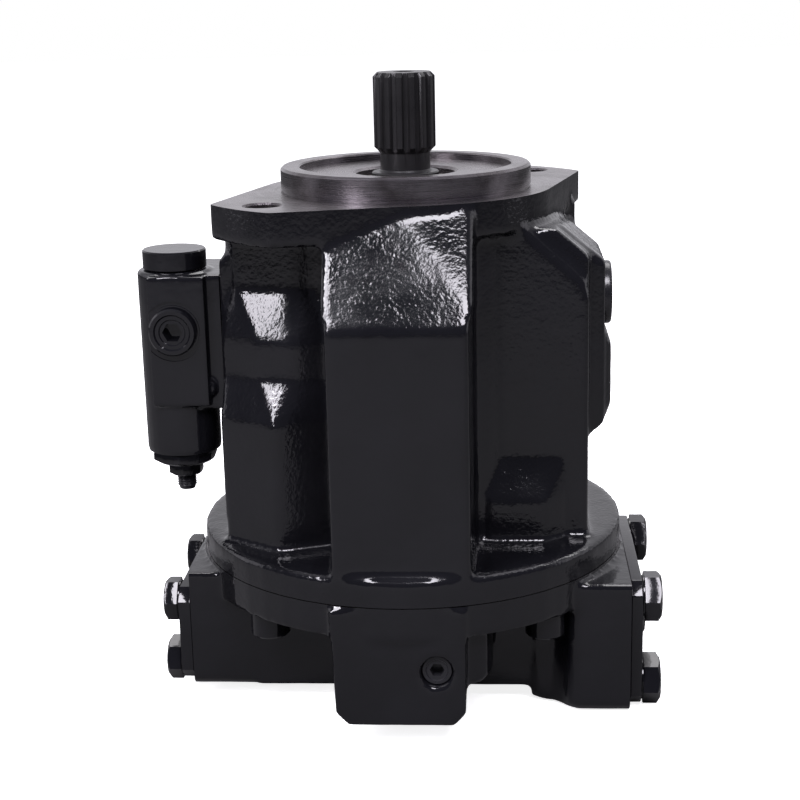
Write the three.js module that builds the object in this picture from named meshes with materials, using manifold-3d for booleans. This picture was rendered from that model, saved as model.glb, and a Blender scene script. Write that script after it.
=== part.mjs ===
// Axial piston pump with a tilting swashplate, built as separate pieces.
// Millimetres, +Z up along the shaft. The origin is on the shaft's axis, on the
// flat bottom of the rear pad. Ports look along X and the control lobe along -Y.
import * as THREE from 'three';
import { mergeVertices } from 'three/addons/utils/BufferGeometryUtils.js';
import { ConvexGeometry } from 'three/addons/geometries/ConvexGeometry.js';
import Module from 'manifold-3d';

const wasm = await Module();
wasm.setup();

// ---- Driving dimensions ----------------------------------------------------

// Heights of the main faces.
const FACE_Z = 207;               // mounting face of the two-bolt flange
const SPLIT_Z = 58.4;             // joint between housing and end cap
const HOUSING_DISC_TOP = 69;
const CAP_DISC_BOTTOM = 45;
const SHAFT_TOP = FACE_Z + 46;
const GAP = 0.3;                  // left between pieces that touch

// Mounting flange: 101.6 mm pilot, two holes 146 mm apart at 45 degrees.
const PILOT_R = 50.8;
const PILOT_H = 9.5;
const RECESS_R = 43;
const RECESS_DEPTH = 3;
const FLANGE_T = 13.6;
const FLANGE_MID_R = 59.5;
const FLANGE_END_R = 86.4;
const FLANGE_END_ANGLE = THREE.MathUtils.degToRad(12.3);
const HOLE_PITCH = 146;
const HOLE_R = 7.15;
const FLANGE_TURN = Math.PI / 4;

// Housing casting.
const DISC_R = 88.3;
const BARREL_R = 53.5;
const CAVITY_R = 47;
const CAVITY_TOP = 168;
const LOBE_FACE = 84.5;
const LOBE_HALF = 26.5;
const SIDE_X = 73;
const WALL_Y = 37;
const BOSS_X = 80;
const DRAIN_Z = FACE_Z - 44.5;
const SEAL_R = 20;
const PISTON_BORE_Y = 63;         // control and bias piston bores
const PISTON_BORE_R = 11.3;

// Rotating group.
const TILT_Z = 132;               // height of the swashplate's tilt axis
const TILT = THREE.MathUtils.degToRad(15);
const PISTONS = 9;
const BORE_CIRCLE_R = 33;
const BALL_CIRCLE_R = BORE_CIRCLE_R * (1 + 1 / Math.cos(TILT)) / 2;
const PISTON_R = 8.5;
const PISTON_LENGTH = 50;
const BORE_R = 9.4;
const BALL_R = 6;
const BLOCK_R = 44;
const BLOCK_BOTTOM = 62.3;
const BLOCK_TOP = 112;
const SWASH_FACE = 9;             // sliding face above the tilt axis
const SWASH_R = 42.6;
const CRADLE_R = 34;
const ARM_Y = 62;
const RETAINING_BALL_R = 22;

// Shaft: 15-tooth spline outside, 12-tooth spline under the block.
const SHAFT_TEETH = 15;
const SPLINE_R = 12.49;
const SPLINE_ROOT_R = 10.9;
const SPLINE_Z = FACE_Z + 15.2;
const BLOCK_TEETH = 12;
const BLOCK_SPLINE_R = 13.2;

// End cap and its two covered ports.
const PORT_Z = 28;
const PORT_Y = -8.3;
const SUCTION = {
  sign: 1, face: 89.3, half: [45, 26.5], bolt: [34.95, 17.85], bore: 19, screw: 6, across: 18, head: 7.5,
};
const PRESSURE = {
  sign: -1, face: 89.8, half: [36, 20], bolt: [26.2, 13.1], bore: 12.5, screw: 5, across: 16, head: 6.4,
};
const COVER_T = 5;
const FRONT_BLOCK = { left: -28, right: 24.5, face: 87, bottom: 9, top: 57 };
const GAUGE_X = 13;
const GAUGE_Z = FACE_Z - 175.5;
const CAP_SCREW_R = 78;
const PAD_R = 26;

// Pressure compensator on the left side.
const VALVE_X = -93;
const VALVE_Y = -20;
const VALVE_R = 15.2;
const VALVE_BOTTOM = 103;
const VALVE_TOP = 178;
const VALVE_FRONT = -36;
const SIDE_PLUG_X = VALVE_X + 1;
const SIDE_PLUG_Z = FACE_Z - 52;
const SPRING_CHAMBER_TOP = 142.5;

// ---- Finishes --------------------------------------------------------------

const finish = (color, roughness, metalness) => ({ color, roughness, metalness });
const PAINT = finish(0x17171b, 0.22, 0.1);
const BLACK_STEEL = finish(0x1d1d20, 0.45, 0.6);
const PHOSPHATE = finish(0x4a4a4c, 0.55, 0.7);
const STEEL = finish(0x9a9894, 0.35, 0.9);
const BRONZE = finish(0xa07b3c, 0.4, 0.85);
const SPRING_STEEL = finish(0x6f7278, 0.35, 0.9);
const RUBBER = finish(0x26211f, 0.7, 0.0);

// ---- Making solids ---------------------------------------------------------

// A closed, outward-facing solid from any closed three.js geometry.
function solid(geometry) {
  const bare = new THREE.BufferGeometry();
  bare.setAttribute('position', geometry.attributes.position);
  if (geometry.index) bare.setIndex(geometry.index);
  const merged = mergeVertices(bare, 1e-4);
  const place = merged.attributes.position;
  const corners = merged.index.array;
  const triangles = [];
  let volume = 0;
  const [a, b, c] = [new THREE.Vector3(), new THREE.Vector3(), new THREE.Vector3()];
  for (let i = 0; i < corners.length; i += 3) {
    const [p, q, r] = corners.slice(i, i + 3);
    if (p === q || q === r || r === p) continue;
    triangles.push([p, q, r]);
    a.fromBufferAttribute(place, p);
    b.fromBufferAttribute(place, q);
    c.fromBufferAttribute(place, r);
    volume += a.dot(b.cross(c));
  }
  if (volume < 0) triangles.forEach((triangle) => triangle.reverse());
  return new wasm.Manifold(new wasm.Mesh({
    numProp: 3,
    vertProperties: Float32Array.from(place.array),
    triVerts: Uint32Array.from(triangles.flat()),
  }));
}

// Joins a list of geometries into one solid.
function join(geometries) {
  return geometries.map(solid).reduce((whole, next) => whole.add(next));
}

// Takes a list of geometries out of a solid.
function cut(body, geometries) {
  return geometries.map(solid).reduce((rest, tool) => rest.subtract(tool), body);
}

function toGeometry(body) {
  const { vertProperties, triVerts, numProp } = body.getMesh();
  const geometry = new THREE.BufferGeometry();
  geometry.setAttribute('position', new THREE.BufferAttribute(vertProperties, numProp));
  geometry.setIndex(new THREE.BufferAttribute(triVerts, 1));
  geometry.computeVertexNormals();
  return geometry;
}

function piece(name, body, look) {
  const mesh = new THREE.Mesh(toGeometry(body), new THREE.MeshStandardMaterial(look));
  mesh.name = name;
  return mesh;
}

// Turns a profile of [radius, height] pairs about +Z.
function turned(profile, sides = 32) {
  const points = profile.map(([r, z]) => new THREE.Vector2(r, z));
  return new THREE.LatheGeometry(points, sides).rotateX(Math.PI / 2);
}

function rod(r, z0, z1, x = 0, y = 0, sides = 32) {
  return turned([[0, z0], [r, z0], [r, z1], [0, z1]], sides).translate(x, y, 0);
}

function ring(inner, outer, z0, z1, sides = 32) {
  return turned([[inner, z0], [outer, z0], [outer, z1], [inner, z1], [inner, z0]], sides);
}

function box([x0, x1], [y0, y1], [z0, z1]) {
  const geometry = new THREE.BoxGeometry(x1 - x0, y1 - y0, z1 - z0);
  return geometry.translate((x0 + x1) / 2, (y0 + y1) / 2, (z0 + z1) / 2);
}

// Extrudes a shape, or a list of [x, y] corners, from z0 to z1.
function prism(outline, z0, z1, curveSegments = 10) {
  const shape = Array.isArray(outline)
    ? new THREE.Shape(outline.map(([x, y]) => new THREE.Vector2(x, y)))
    : outline;
  const settings = { depth: z1 - z0, bevelEnabled: false, curveSegments };
  return new THREE.ExtrudeGeometry(shape, settings).translate(0, 0, z0);
}

// The convex block over sections given as [height, [[x, y], ...]].
function lobe(...sections) {
  const points = sections.flatMap(([z, outline]) => (
    outline.map(([x, y]) => new THREE.Vector3(x, y, z))
  ));
  return new ConvexGeometry(points);
}

// The convex block between two Y planes over an [x, z] outline.
function slab(outline, y0, y1) {
  const points = outline.flatMap(([x, z]) => [
    new THREE.Vector3(x, y0, z),
    new THREE.Vector3(x, y1, z),
  ]);
  return new ConvexGeometry(points);
}

// Lays a part drawn along +Z so that it points along +X, then moves it.
function alongX(geometry, x, y, z, sign = 1) {
  return geometry.rotateY(sign * Math.PI / 2).translate(x, y, z);
}

const halfTurn = (geometry) => geometry.clone().rotateZ(Math.PI);

// Outline of a spline or toothed bore, with flat-topped teeth.
function splineOutline(teeth, root, tip) {
  const pitch = 2 * Math.PI / teeth;
  const corners = [];
  for (let tooth = 0; tooth < teeth; tooth += 1) {
    for (const [r, part] of [[root, -0.32], [tip, -0.17], [tip, 0.17], [root, 0.32]]) {
      const angle = pitch * (tooth + part);
      corners.push([r * Math.cos(angle), r * Math.sin(angle)]);
    }
  }
  return corners;
}

// The line of a coil spring's wire.
class Helix extends THREE.Curve {
  constructor(radius, height, turns) {
    super();
    Object.assign(this, { radius, height, turns });
  }

  getPoint(t, target = new THREE.Vector3()) {
    const angle = 2 * Math.PI * this.turns * t;
    return target.set(
      this.radius * Math.cos(angle),
      this.radius * Math.sin(angle),
      this.height * t,
    );
  }
}

function spring(radius, wire, height, turns) {
  const section = new THREE.Shape();
  section.absarc(0, 0, wire, 0, 2 * Math.PI);
  return new THREE.ExtrudeGeometry(section, {
    steps: Math.round(turns * 9),
    curveSegments: 2,
    bevelEnabled: false,
    extrudePath: new Helix(radius, height - 2 * wire, turns),
  }).translate(0, 0, wire);
}

const hexagon = (across, z0, z1) => rod(across / Math.sqrt(3), z0, z1, 0, 0, 6);

// A hexagon bolt lying with its head's seat at z = 0 and its shank below.
function hexBolt(across, head, shankR, shankLength) {
  const corner = across / Math.sqrt(3);
  const crown = [[0, 0], [corner, 0], [corner, head - 1], [corner - 1.6, head], [0, head]];
  return join([
    turned(crown, 6),
    rod(shankR, -shankLength, 1, 0, 0, 12),
  ]);
}

// ---- Housing ---------------------------------------------------------------

function flangeOutline() {
  const tangent = Math.acos(FLANGE_MID_R / FLANGE_END_R) + FLANGE_END_ANGLE;
  const shape = new THREE.Shape();
  for (const turn of [0, Math.PI]) {
    shape.absarc(0, 0, FLANGE_END_R, turn - FLANGE_END_ANGLE, turn + FLANGE_END_ANGLE);
    shape.absarc(0, 0, FLANGE_MID_R, turn + tangent, turn + Math.PI - tangent);
  }
  return shape;
}

// The flat-faced lobe over the control piston, leaning back to the flange.
function pistonLobe() {
  const back = 40;
  const bend = 165;
  const foot = [[-LOBE_HALF, -LOBE_FACE], [LOBE_HALF, -LOBE_FACE], [28, -back], [-28, -back]];
  return [
    lobe([SPLIT_Z, foot], [bend, foot]),
    lobe(
      [bend, foot],
      [bend + 8, [[-28.3, -79.6], [28.3, -79.6]]],
      [FACE_Z - 3, [[-28.3, -60.6], [2, -60], [28.3, -54.5], [28.3, -back], [-28.3, -back]]],
    ),
  ];
}

// The stepped lobe under the near ear of the flange.
function earLobe() {
  const inner = [[-28, -20], [-60, -20]];
  const neck = [[-71, -30], [-66, -37], [-43, -43.5], [-28, -40], ...inner];
  const shoulder = [[-73, -36], [-57, -46.5], [-43, -50], [-28, -46], ...inner];
  const column = [[-74, -41], [-50, -57], [-38.5, -48.5], [-28, -49], ...inner];
  return [
    lobe([150, neck], [FACE_Z - 10, neck]),
    lobe([172, neck], [153, shoulder], [135, shoulder]),
    lobe([137, shoulder], [121, column], [HOUSING_DISC_TOP - 4, column]),
  ];
}

// The flat wall beside the piston lobe, with the stepped box at its foot.
function sideWall() {
  const wall = [[20, SPLIT_Z], [SIDE_X, SPLIT_Z], [SIDE_X, 167], [70.5, 174.5], [44, 198], [20, 198]];
  const foot = [[33, -44.5], [55, -44.5], [63, -39], [65.5, -32], [33, -32]];
  const head = [[33, -WALL_Y], [63, -WALL_Y], [65, -32], [33, -32]];
  return [
    slab(wall, -WALL_Y, 0),
    lobe([HOUSING_DISC_TOP - 4, foot], [86, foot], [102, head]),
  ];
}

// The right side: a web under the flange, the drain boss and a bulge below it.
function drainSide() {
  const outline = [[30, 193], [62, 194], [BOSS_X, 179], [BOSS_X, 112], [SIDE_X, 106], [30, 106]];
  const bulge = [[60, 150], [BOSS_X, 150], [83, 145], [83, 119], [BOSS_X, 112], [60, 112]];
  return [slab(outline, -22, 22), slab(bulge, -18, 18)];
}

function housingHollows() {
  const slot = 10;
  const holes = [-1, 1].map((side) => (
    rod(HOLE_R, FACE_Z - 40, FACE_Z + 1, side * HOLE_PITCH / 2, 0, 24).rotateZ(FLANGE_TURN)
  ));
  const screws = capScrewPlaces().map(([x, y]) => (
    rod(5.2, SPLIT_Z - 1, HOUSING_DISC_TOP - 2, x, y, 12)
  ));
  return [
    turned([
      [0, SPLIT_Z - 1], [CAVITY_R, SPLIT_Z - 1], [CAVITY_R, CAVITY_TOP - 4],
      [36.3, CAVITY_TOP + 4], [36.3, 190.6], [28, 190.6], [17, 194], [17, 204],
      [SEAL_R + GAP, 204], [SEAL_R + GAP, 250], [0, 250],
    ], 36),
    rod(RECESS_R, FACE_Z + PILOT_H - RECESS_DEPTH, FACE_Z + 20, 0, 0, 40),
    rod(PISTON_BORE_R, SPLIT_Z - 1, 163, 0, -PISTON_BORE_Y, 18),
    rod(PISTON_BORE_R, SPLIT_Z - 1, 175, 0, PISTON_BORE_Y, 18),
    box([-slot, slot], [-PISTON_BORE_Y, -40], [112, 163]),
    box([-slot, slot], [40, PISTON_BORE_Y], [112, 175]),
    alongX(rod(9, -30, 10, 0, 0, 16), BOSS_X, 0, DRAIN_Z),
    ...holes,
    ...screws,
  ];
}

function capScrewPlaces() {
  const reach = CAP_SCREW_R / Math.SQRT2;
  return [[reach, reach], [-reach, reach], [-reach, -reach], [reach, -reach]];
}

function housing() {
  const corner = 1;
  const pilot = turned([
    [0, FACE_Z - 5], [PILOT_R, FACE_Z - 5], [PILOT_R, FACE_Z + PILOT_H - corner],
    [PILOT_R - corner, FACE_Z + PILOT_H], [0, FACE_Z + PILOT_H],
  ], 56);
  const flange = prism(flangeOutline(), FACE_Z - FLANGE_T, FACE_Z).rotateZ(FLANGE_TURN);
  const lobes = [...pistonLobe(), ...earLobe(), ...sideWall()];
  const outside = join([
    rod(DISC_R, SPLIT_Z, HOUSING_DISC_TOP, 0, 0, 56),
    rod(BARREL_R, SPLIT_Z, FACE_Z - 2, 0, 0, 36),
    slab([[-SIDE_X, SPLIT_Z], [-SIDE_X, 183], [-60, 194], [-30, 194], [-30, SPLIT_Z]], -34, 34),
    slab([[SIDE_X, SPLIT_Z], [SIDE_X, 183], [60, 194], [30, 194], [30, SPLIT_Z]], -34, 34),
    flange,
    pilot,
    ...lobes,
    ...lobes.map(halfTurn),
    ...drainSide(),
  ]);
  return piece('housing', cut(outside, housingHollows()), PAINT);
}

// ---- End cap and covers ----------------------------------------------------

// A port block on one side, from the middle of the cap out to its cover.
function portBlock(port, inner, bottom, front) {
  const reach = port.sign * port.face;
  const back = PORT_Y + port.half[0];
  const outline = [
    [inner, -44.5], [port.sign * 62, -44.5], [port.sign * 68, front], [reach, front],
    [reach, back], [inner, 40],
  ];
  const round = 3;
  const low = outline.map(([x, y]) => [x, y > 0 ? y - round : y + round]);
  return lobe([bottom, low], [bottom + round, outline], [CAP_DISC_BOTTOM + 10.5, outline]);
}

function portHollow(port) {
  const depth = 60;
  const boltHoles = boltPlaces(port).map(([y, z]) => (
    alongX(rod(port.screw + GAP, -24, 1, 0, 0, 12), port.sign * port.face, y, z, port.sign)
  ));
  return [
    alongX(rod(port.bore, -depth, 1, 0, 0, 24), port.sign * port.face, PORT_Y, PORT_Z, port.sign),
    rod(6, PORT_Z, SPLIT_Z + 1, port.sign * 32, 0, 16),
    ...boltHoles,
  ];
}

function boltPlaces(port) {
  const [dy, dz] = port.bolt;
  return [[-dy, dz], [dy, dz], [dy, -dz], [-dy, -dz]].map(([y, z]) => [PORT_Y + y, PORT_Z + z]);
}

function frontBlock() {
  const { left, right, face, bottom, top } = FRONT_BLOCK;
  const soft = 5;
  const outline = [
    [left, top], [right, top], [right - 0.5, bottom + soft], [right - soft, bottom],
    [left + soft + 1.5, bottom], [left + 1.5, bottom + soft],
  ];
  return slab(outline, -face, -20);
}

function endCap() {
  const { face, right } = FRONT_BLOCK;
  const top = SPLIT_Z - GAP;
  const rib = lobe(
    [58, [[right, -78], [32, -77], [34.5, -70], [34.5, -30], [right, -30]]],
    [26, [[right, -78], [32, -77], [34.5, -70], [34.5, -30], [right, -30]]],
    [22, [[right, -78], [30, -74], [30, -30], [right, -30]]],
  );
  const outside = join([
    rod(DISC_R + 0.1, CAP_DISC_BOTTOM, top, 0, 0, 56),
    rod(PAD_R, 0, 20, 0, 0, 32),
    box([-64, 64], [-44.5, 44.5], [6.5, CAP_DISC_BOTTOM + 2]),
    portBlock(SUCTION, 50, 1, -57),
    portBlock(PRESSURE, -50, 6, -44.5),
    frontBlock(),
    rib,
  ]);
  const clearance = 9.3;
  const screws = capScrewPlaces().flatMap(([x, y]) => [
    rod(5.6, 30, 60, x, y, 10),
    rod(clearance, -5, CAP_DISC_BOTTOM, x, y, 14),
  ]);
  const gauge = rod(6.3, -20, 1, 0, 0, 20).rotateX(Math.PI / 2).translate(GAUGE_X, -face, GAUGE_Z);
  return piece('end_cap', cut(outside, [
    box([-100, 100], [-100, 100], [top, 70]),
    rod(14.3, 38, 62, 0, 0, 24),
    rod(12, 30, 40, 0, 0, 16),
    ...portHollow(SUCTION),
    ...portHollow(PRESSURE),
    ...screws,
    gauge,
  ]), PAINT);
}

// Flat blanking cover over a port, with its four bolt holes.
function portCover(name, port) {
  const [y, z] = port.half;
  const soft = 5;
  const outline = [
    [-y, -z + soft], [-y + soft, -z], [y - soft, -z], [y, -z + soft],
    [y, z - soft], [y - soft, z], [-y + soft, z], [-y, z - soft],
  ];
  const plate = solid(prism(outline, GAP, COVER_T));
  const holes = boltPlaces(port).map(([by, bz]) => (
    rod(port.screw + 0.6, -1, COVER_T + 1, by - PORT_Y, bz - PORT_Z, 12)
  ));
  const mesh = piece(name, cut(plate, holes), PAINT);
  mesh.setRotationFromMatrix(new THREE.Matrix4().makeBasis(
    new THREE.Vector3(0, port.sign, 0),
    new THREE.Vector3(0, 0, 1),
    new THREE.Vector3(port.sign, 0, 0),
  ));
  mesh.position.set(port.sign * port.face, PORT_Y, PORT_Z);
  return mesh;
}

function coverBolts(name, port) {
  const body = hexBolt(port.across, port.head, port.screw - 0.1, 20 + COVER_T);
  return boltPlaces(port).map(([y, z], index) => {
    const mesh = piece(`${name}_${index + 1}`, body, BLACK_STEEL);
    mesh.rotation.y = port.sign * Math.PI / 2;
    mesh.position.set(port.sign * (port.face + COVER_T + GAP), y, z);
    return mesh;
  });
}

// Socket-head screws that hold the end cap to the housing, heads down.
function capScrews() {
  const head = 10;
  const shape = cut(
    join([rod(8, -head, 0, 0, 0, 16), rod(4.7, -1, 21, 0, 0, 10)]),
    [hexagon(8, -head - 1, -head + 5)],
  );
  return capScrewPlaces().map(([x, y], index) => {
    const mesh = piece(`end_cap_screw_${index + 1}`, shape, BLACK_STEEL);
    mesh.position.set(x, y, CAP_DISC_BOTTOM - GAP);
    return mesh;
  });
}

function gaugePlug() {
  const body = cut(solid(rod(6, -12, -2.5, 0, 0, 20)), [hexagon(5, -7, 0)]);
  const mesh = piece('gauge_port_plug', body, BLACK_STEEL);
  mesh.rotation.x = Math.PI / 2;
  mesh.position.set(GAUGE_X, -FRONT_BLOCK.face, GAUGE_Z);
  return mesh;
}

function drainPlug() {
  const body = cut(join([
    turned([[0, GAP], [13, GAP], [13, 2.7], [12.2, 3.5], [0, 3.5]], 20),
    rod(8.6, -14, 1, 0, 0, 12),
  ]), [hexagon(10, -6, 5)]);
  const mesh = piece('drain_port_plug', body, BLACK_STEEL);
  mesh.rotation.y = Math.PI / 2;
  mesh.position.set(BOSS_X, 0, DRAIN_Z);
  return mesh;
}

// ---- Shaft, bearings and seal ----------------------------------------------

function driveShaft() {
  const collar = FACE_Z + 6.5;
  const neck = 10.2;
  const body = turned([
    [0, 36], [9.6, 36], [9.6, 61], [11.4, 61], [11.4, BLOCK_TOP + 6], [13.2, BLOCK_TOP + 6],
    [13.2, 150], [17.5, 166], [17.5, 191], [13.7, 192], [13.7, collar], [neck, collar],
    [neck, SPLINE_Z], [0, SPLINE_Z],
  ], 20);
  const teeth = prism(splineOutline(SHAFT_TEETH, SPLINE_ROOT_R, SPLINE_R), SPLINE_Z - 1.5, SHAFT_TOP);
  const inner = prism(splineOutline(BLOCK_TEETH, 11, BLOCK_SPLINE_R), 64, BLOCK_TOP + 8);
  return piece('drive_shaft', join([body, teeth, inner]), PHOSPHATE);
}

function bearingsAndSeal() {
  const cup = solid(turned([[28.4, 172], [36, 172], [36, 190.2], [30.5, 190.2], [28.4, 172]], 24));
  const cone = solid(turned([
    [17.9, 171], [23.5, 171], [27.5, 174.5], [29.1, 187.5], [21.5, 190], [17.9, 190], [17.9, 171],
  ], 24));
  const rear = solid(ring(9.9, 14, 40, 57.5, 24));
  const seal = solid(turned([
    [14, 206.5], [15.2, 204.4], [SEAL_R, 204.4], [SEAL_R, 210.5], [15.2, 210.5], [14, 206.5],
  ], 24));
  return {
    fixed: [
      piece('front_bearing_cup', cup, STEEL),
      piece('rear_needle_bearing', rear, STEEL),
      piece('shaft_seal', seal, RUBBER),
    ],
    turning: [piece('front_bearing_cone', cone, STEEL)],
  };
}

// ---- Rotating group --------------------------------------------------------

const pistonAngle = (index) => 2 * Math.PI * index / PISTONS + Math.PI / 2;

function cylinderBlock() {
  const bores = [];
  for (let index = 0; index < PISTONS; index += 1) {
    const angle = pistonAngle(index);
    const [c, s] = [Math.cos(angle), Math.sin(angle)];
    bores.push(rod(BORE_R, 70, BLOCK_TOP + 1, BORE_CIRCLE_R * c, BORE_CIRCLE_R * s, 14));
    bores.push(rod(4.5, BLOCK_BOTTOM - 1, 71, 31 * c, 31 * s, 6));
  }
  const blank = solid(rod(BLOCK_R, BLOCK_BOTTOM, BLOCK_TOP, 0, 0, 30));
  return piece('cylinder_block', cut(blank, [
    prism(splineOutline(BLOCK_TEETH, 11.75, BLOCK_SPLINE_R + 0.4), BLOCK_BOTTOM - 1, 90),
    rod(19.6, 86, BLOCK_TOP + 1, 0, 0, 24),
    ...bores,
  ]), STEEL);
}

function valvePlate() {
  const slots = [];
  for (const side of [0, Math.PI]) {
    const kidney = new THREE.Shape();
    kidney.absarc(0, 0, 36, side - 1.05, side + 1.05);
    kidney.absarc(0, 0, 27, side + 1.05, side - 1.05, true);
    slots.push(prism(kidney, 50, 70, 5));
  }
  const blank = solid(ring(14.8, 46, SPLIT_Z + GAP, BLOCK_BOTTOM - GAP, 24));
  return piece('valve_plate', cut(blank, slots), BRONZE);
}

function retainingBall() {
  const profile = [[13.6, -9]];
  for (let step = 0; step <= 5; step += 1) {
    const height = -9 + step * 3.4;
    profile.push([Math.sqrt(RETAINING_BALL_R ** 2 - height ** 2), height]);
  }
  profile.push([13.6, 8], [13.6, -9]);
  const mesh = piece('retaining_ball', solid(turned(profile, 20)), STEEL);
  mesh.position.z = TILT_Z;
  return mesh;
}

function blockSpring() {
  const mesh = piece('block_spring', solid(spring(16.6, 1.8, 35.6, 4)), SPRING_STEEL);
  mesh.position.z = 86.5;
  return mesh;
}

// A piston drawn from the centre of its ball.
function pistonShape() {
  const profile = [[0, BALL_R], [4.2, 4.2], [BALL_R, 0], [4.3, -4.2], [4, -6.5]];
  profile.push([PISTON_R - 1, -7.5], [PISTON_R, -9], [PISTON_R, -PISTON_LENGTH], [0, -PISTON_LENGTH]);
  return solid(turned(profile, 10));
}

// A slipper drawn from the centre of the ball that it holds.
function slipperShape() {
  const socket = BALL_R + 0.4;
  return solid(turned([
    [0, socket], [4.6, 4.5], [socket, 0], [5.7, -2.9], [7.6, -2.9], [7.6, 5.6],
    [9.6, 5.6], [9.6, SWASH_FACE - GAP], [0, SWASH_FACE - GAP],
  ], 10));
}

function retainerPlate() {
  const holes = [];
  for (let index = 0; index < PISTONS; index += 1) {
    const angle = pistonAngle(index);
    const [x, y] = [BALL_CIRCLE_R * Math.cos(angle), BALL_CIRCLE_R * Math.sin(angle)];
    holes.push(rod(8.5, 0, 8, x, y, 12));
  }
  const blank = turned([[22.5, 1.4], [44.6, 1.4], [44.6, 5.2], [21.9, 5.2], [22.5, 1.4]], 30);
  return piece('retainer_plate', cut(solid(blank), holes), STEEL);
}

// The tilting plate: a round sliding face on a half-round cradle, with two arms.
function swashplate() {
  const cradle = new THREE.CylinderGeometry(CRADLE_R, CRADLE_R, 76, 36).rotateZ(Math.PI / 2);
  const arms = [-1, 1].flatMap((side) => [
    box([-7, 7], [side > 0 ? 30 : -ARM_Y, side > 0 ? ARM_Y : -30], [12.5, 21]),
    new THREE.CylinderGeometry(5, 5, 14, 16).rotateZ(Math.PI / 2).translate(0, side * ARM_Y, 16),
  ]);
  const plate = solid(cradle)
    .intersect(solid(box([-38, 38], [-60, 60], [SWASH_FACE, 60])))
    .intersect(solid(rod(43, 0, 60, 0, 0, 24)))
    .add(solid(rod(SWASH_R, SWASH_FACE, 12.4, 0, 0, 24)))
    .add(join(arms));
  const opening = turned([[0, 8], [21.3, 8], [21.3, 12], [28.5, 36], [0, 36]], 20);
  return piece('swashplate', cut(plate, [opening]), STEEL);
}

// The plain bearing shell that the swashplate rolls in, with a window for the shaft.
function cradleBearing() {
  const inner = CRADLE_R + GAP;
  const half = 36;
  const from = 0.95;
  const band = new THREE.Shape();
  band.absarc(0, 0, inner + 1.8, from, Math.PI - from);
  band.absarc(0, 0, inner, Math.PI - from, from, true);
  const shell = prism(band, -half, half, 10).rotateX(Math.PI / 2).rotateZ(Math.PI / 2);
  const window = box([-27, 27], [-18.5, 18.5], [0, 60]);
  const mesh = piece('cradle_bearing', cut(solid(shell), [window]), BRONZE);
  mesh.position.z = TILT_Z;
  return mesh;
}

// Everything that tilts with the plate is nested in one group turned by 15 degrees.
function tiltingGroup() {
  const group = new THREE.Group();
  group.position.z = TILT_Z;
  group.rotation.x = TILT;
  group.add(swashplate(), retainerPlate());
  const slipper = slipperShape();
  for (let index = 0; index < PISTONS; index += 1) {
    const angle = pistonAngle(index);
    const mesh = piece(`slipper_${index + 1}`, slipper, BRONZE);
    mesh.position.set(BALL_CIRCLE_R * Math.cos(angle), BALL_CIRCLE_R * Math.sin(angle), 0);
    group.add(mesh);
  }
  return group;
}

function pistons() {
  const shape = pistonShape();
  return Array.from({ length: PISTONS }, (_, index) => {
    const angle = pistonAngle(index);
    const across = BALL_CIRCLE_R * Math.sin(angle);
    const mesh = piece(`piston_${index + 1}`, shape, STEEL);
    mesh.position.set(
      BALL_CIRCLE_R * Math.cos(angle),
      across * Math.cos(TILT),
      TILT_Z + across * Math.sin(TILT),
    );
    return mesh;
  });
}

// ---- Control and bias pistons ----------------------------------------------

// Height of the lowest line of an arm's round nose, on the given side.
const armNose = (side) => (
  TILT_Z + side * ARM_Y * Math.sin(TILT) + 16 * Math.cos(TILT) - 5
);

function strokePistons() {
  const r = PISTON_BORE_R - 0.35;
  const low = armNose(-1) - 0.5;
  const high = armNose(1) - 0.5;
  const control = piece('control_piston', solid(turned([
    [0, low - 38], [r, low - 38], [r, low - 1], [r - 1, low], [0, low],
  ], 20)), STEEL);
  const bias = piece('bias_piston', solid(turned([
    [0, high - 5], [8.4, high - 5], [8.4, high - 40], [r, high - 40],
    [r, high - 1], [r - 1, high], [0, high],
  ], 20)), STEEL);
  const coil = piece('bias_spring', solid(spring(6.9, 1.1, high - 6 - 60, 6)), SPRING_STEEL);
  control.position.y = -PISTON_BORE_Y;
  bias.position.y = PISTON_BORE_Y;
  coil.position.set(0, PISTON_BORE_Y, 60);
  return [control, bias, coil];
}

// ---- Pressure compensator --------------------------------------------------

function compensatorBody() {
  const outside = join([
    turned([
      [0, VALVE_BOTTOM], [VALVE_R - 1.5, VALVE_BOTTOM], [VALVE_R, VALVE_BOTTOM + 1.5],
      [VALVE_R, VALVE_TOP - 1], [VALVE_R - 1, VALVE_TOP], [0, VALVE_TOP],
    ], 32).translate(VALVE_X, VALVE_Y, 0),
    slab([[-101.6, 124], [-101.6, 177], [-79, 177], [-79, 124]], VALVE_FRONT, VALVE_Y),
    slab([[-92, 122], [-92, 177], [-SIDE_X - GAP, 177], [-SIDE_X - GAP, 122]], -32, 8),
  ]);
  return piece('compensator_body', cut(outside, [
    rod(4, 130, VALVE_TOP + 1, VALVE_X, VALVE_Y, 16),
    rod(9.4, VALVE_BOTTOM - 1, SPRING_CHAMBER_TOP, VALVE_X, VALVE_Y, 20),
    rod(8, 170, VALVE_TOP + 1, VALVE_X, VALVE_Y, 20),
    rod(7.4, -7, 1, 0, 0, 16).rotateX(Math.PI / 2).translate(SIDE_PLUG_X, VALVE_FRONT, SIDE_PLUG_Z),
  ]), PAINT);
}

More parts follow.
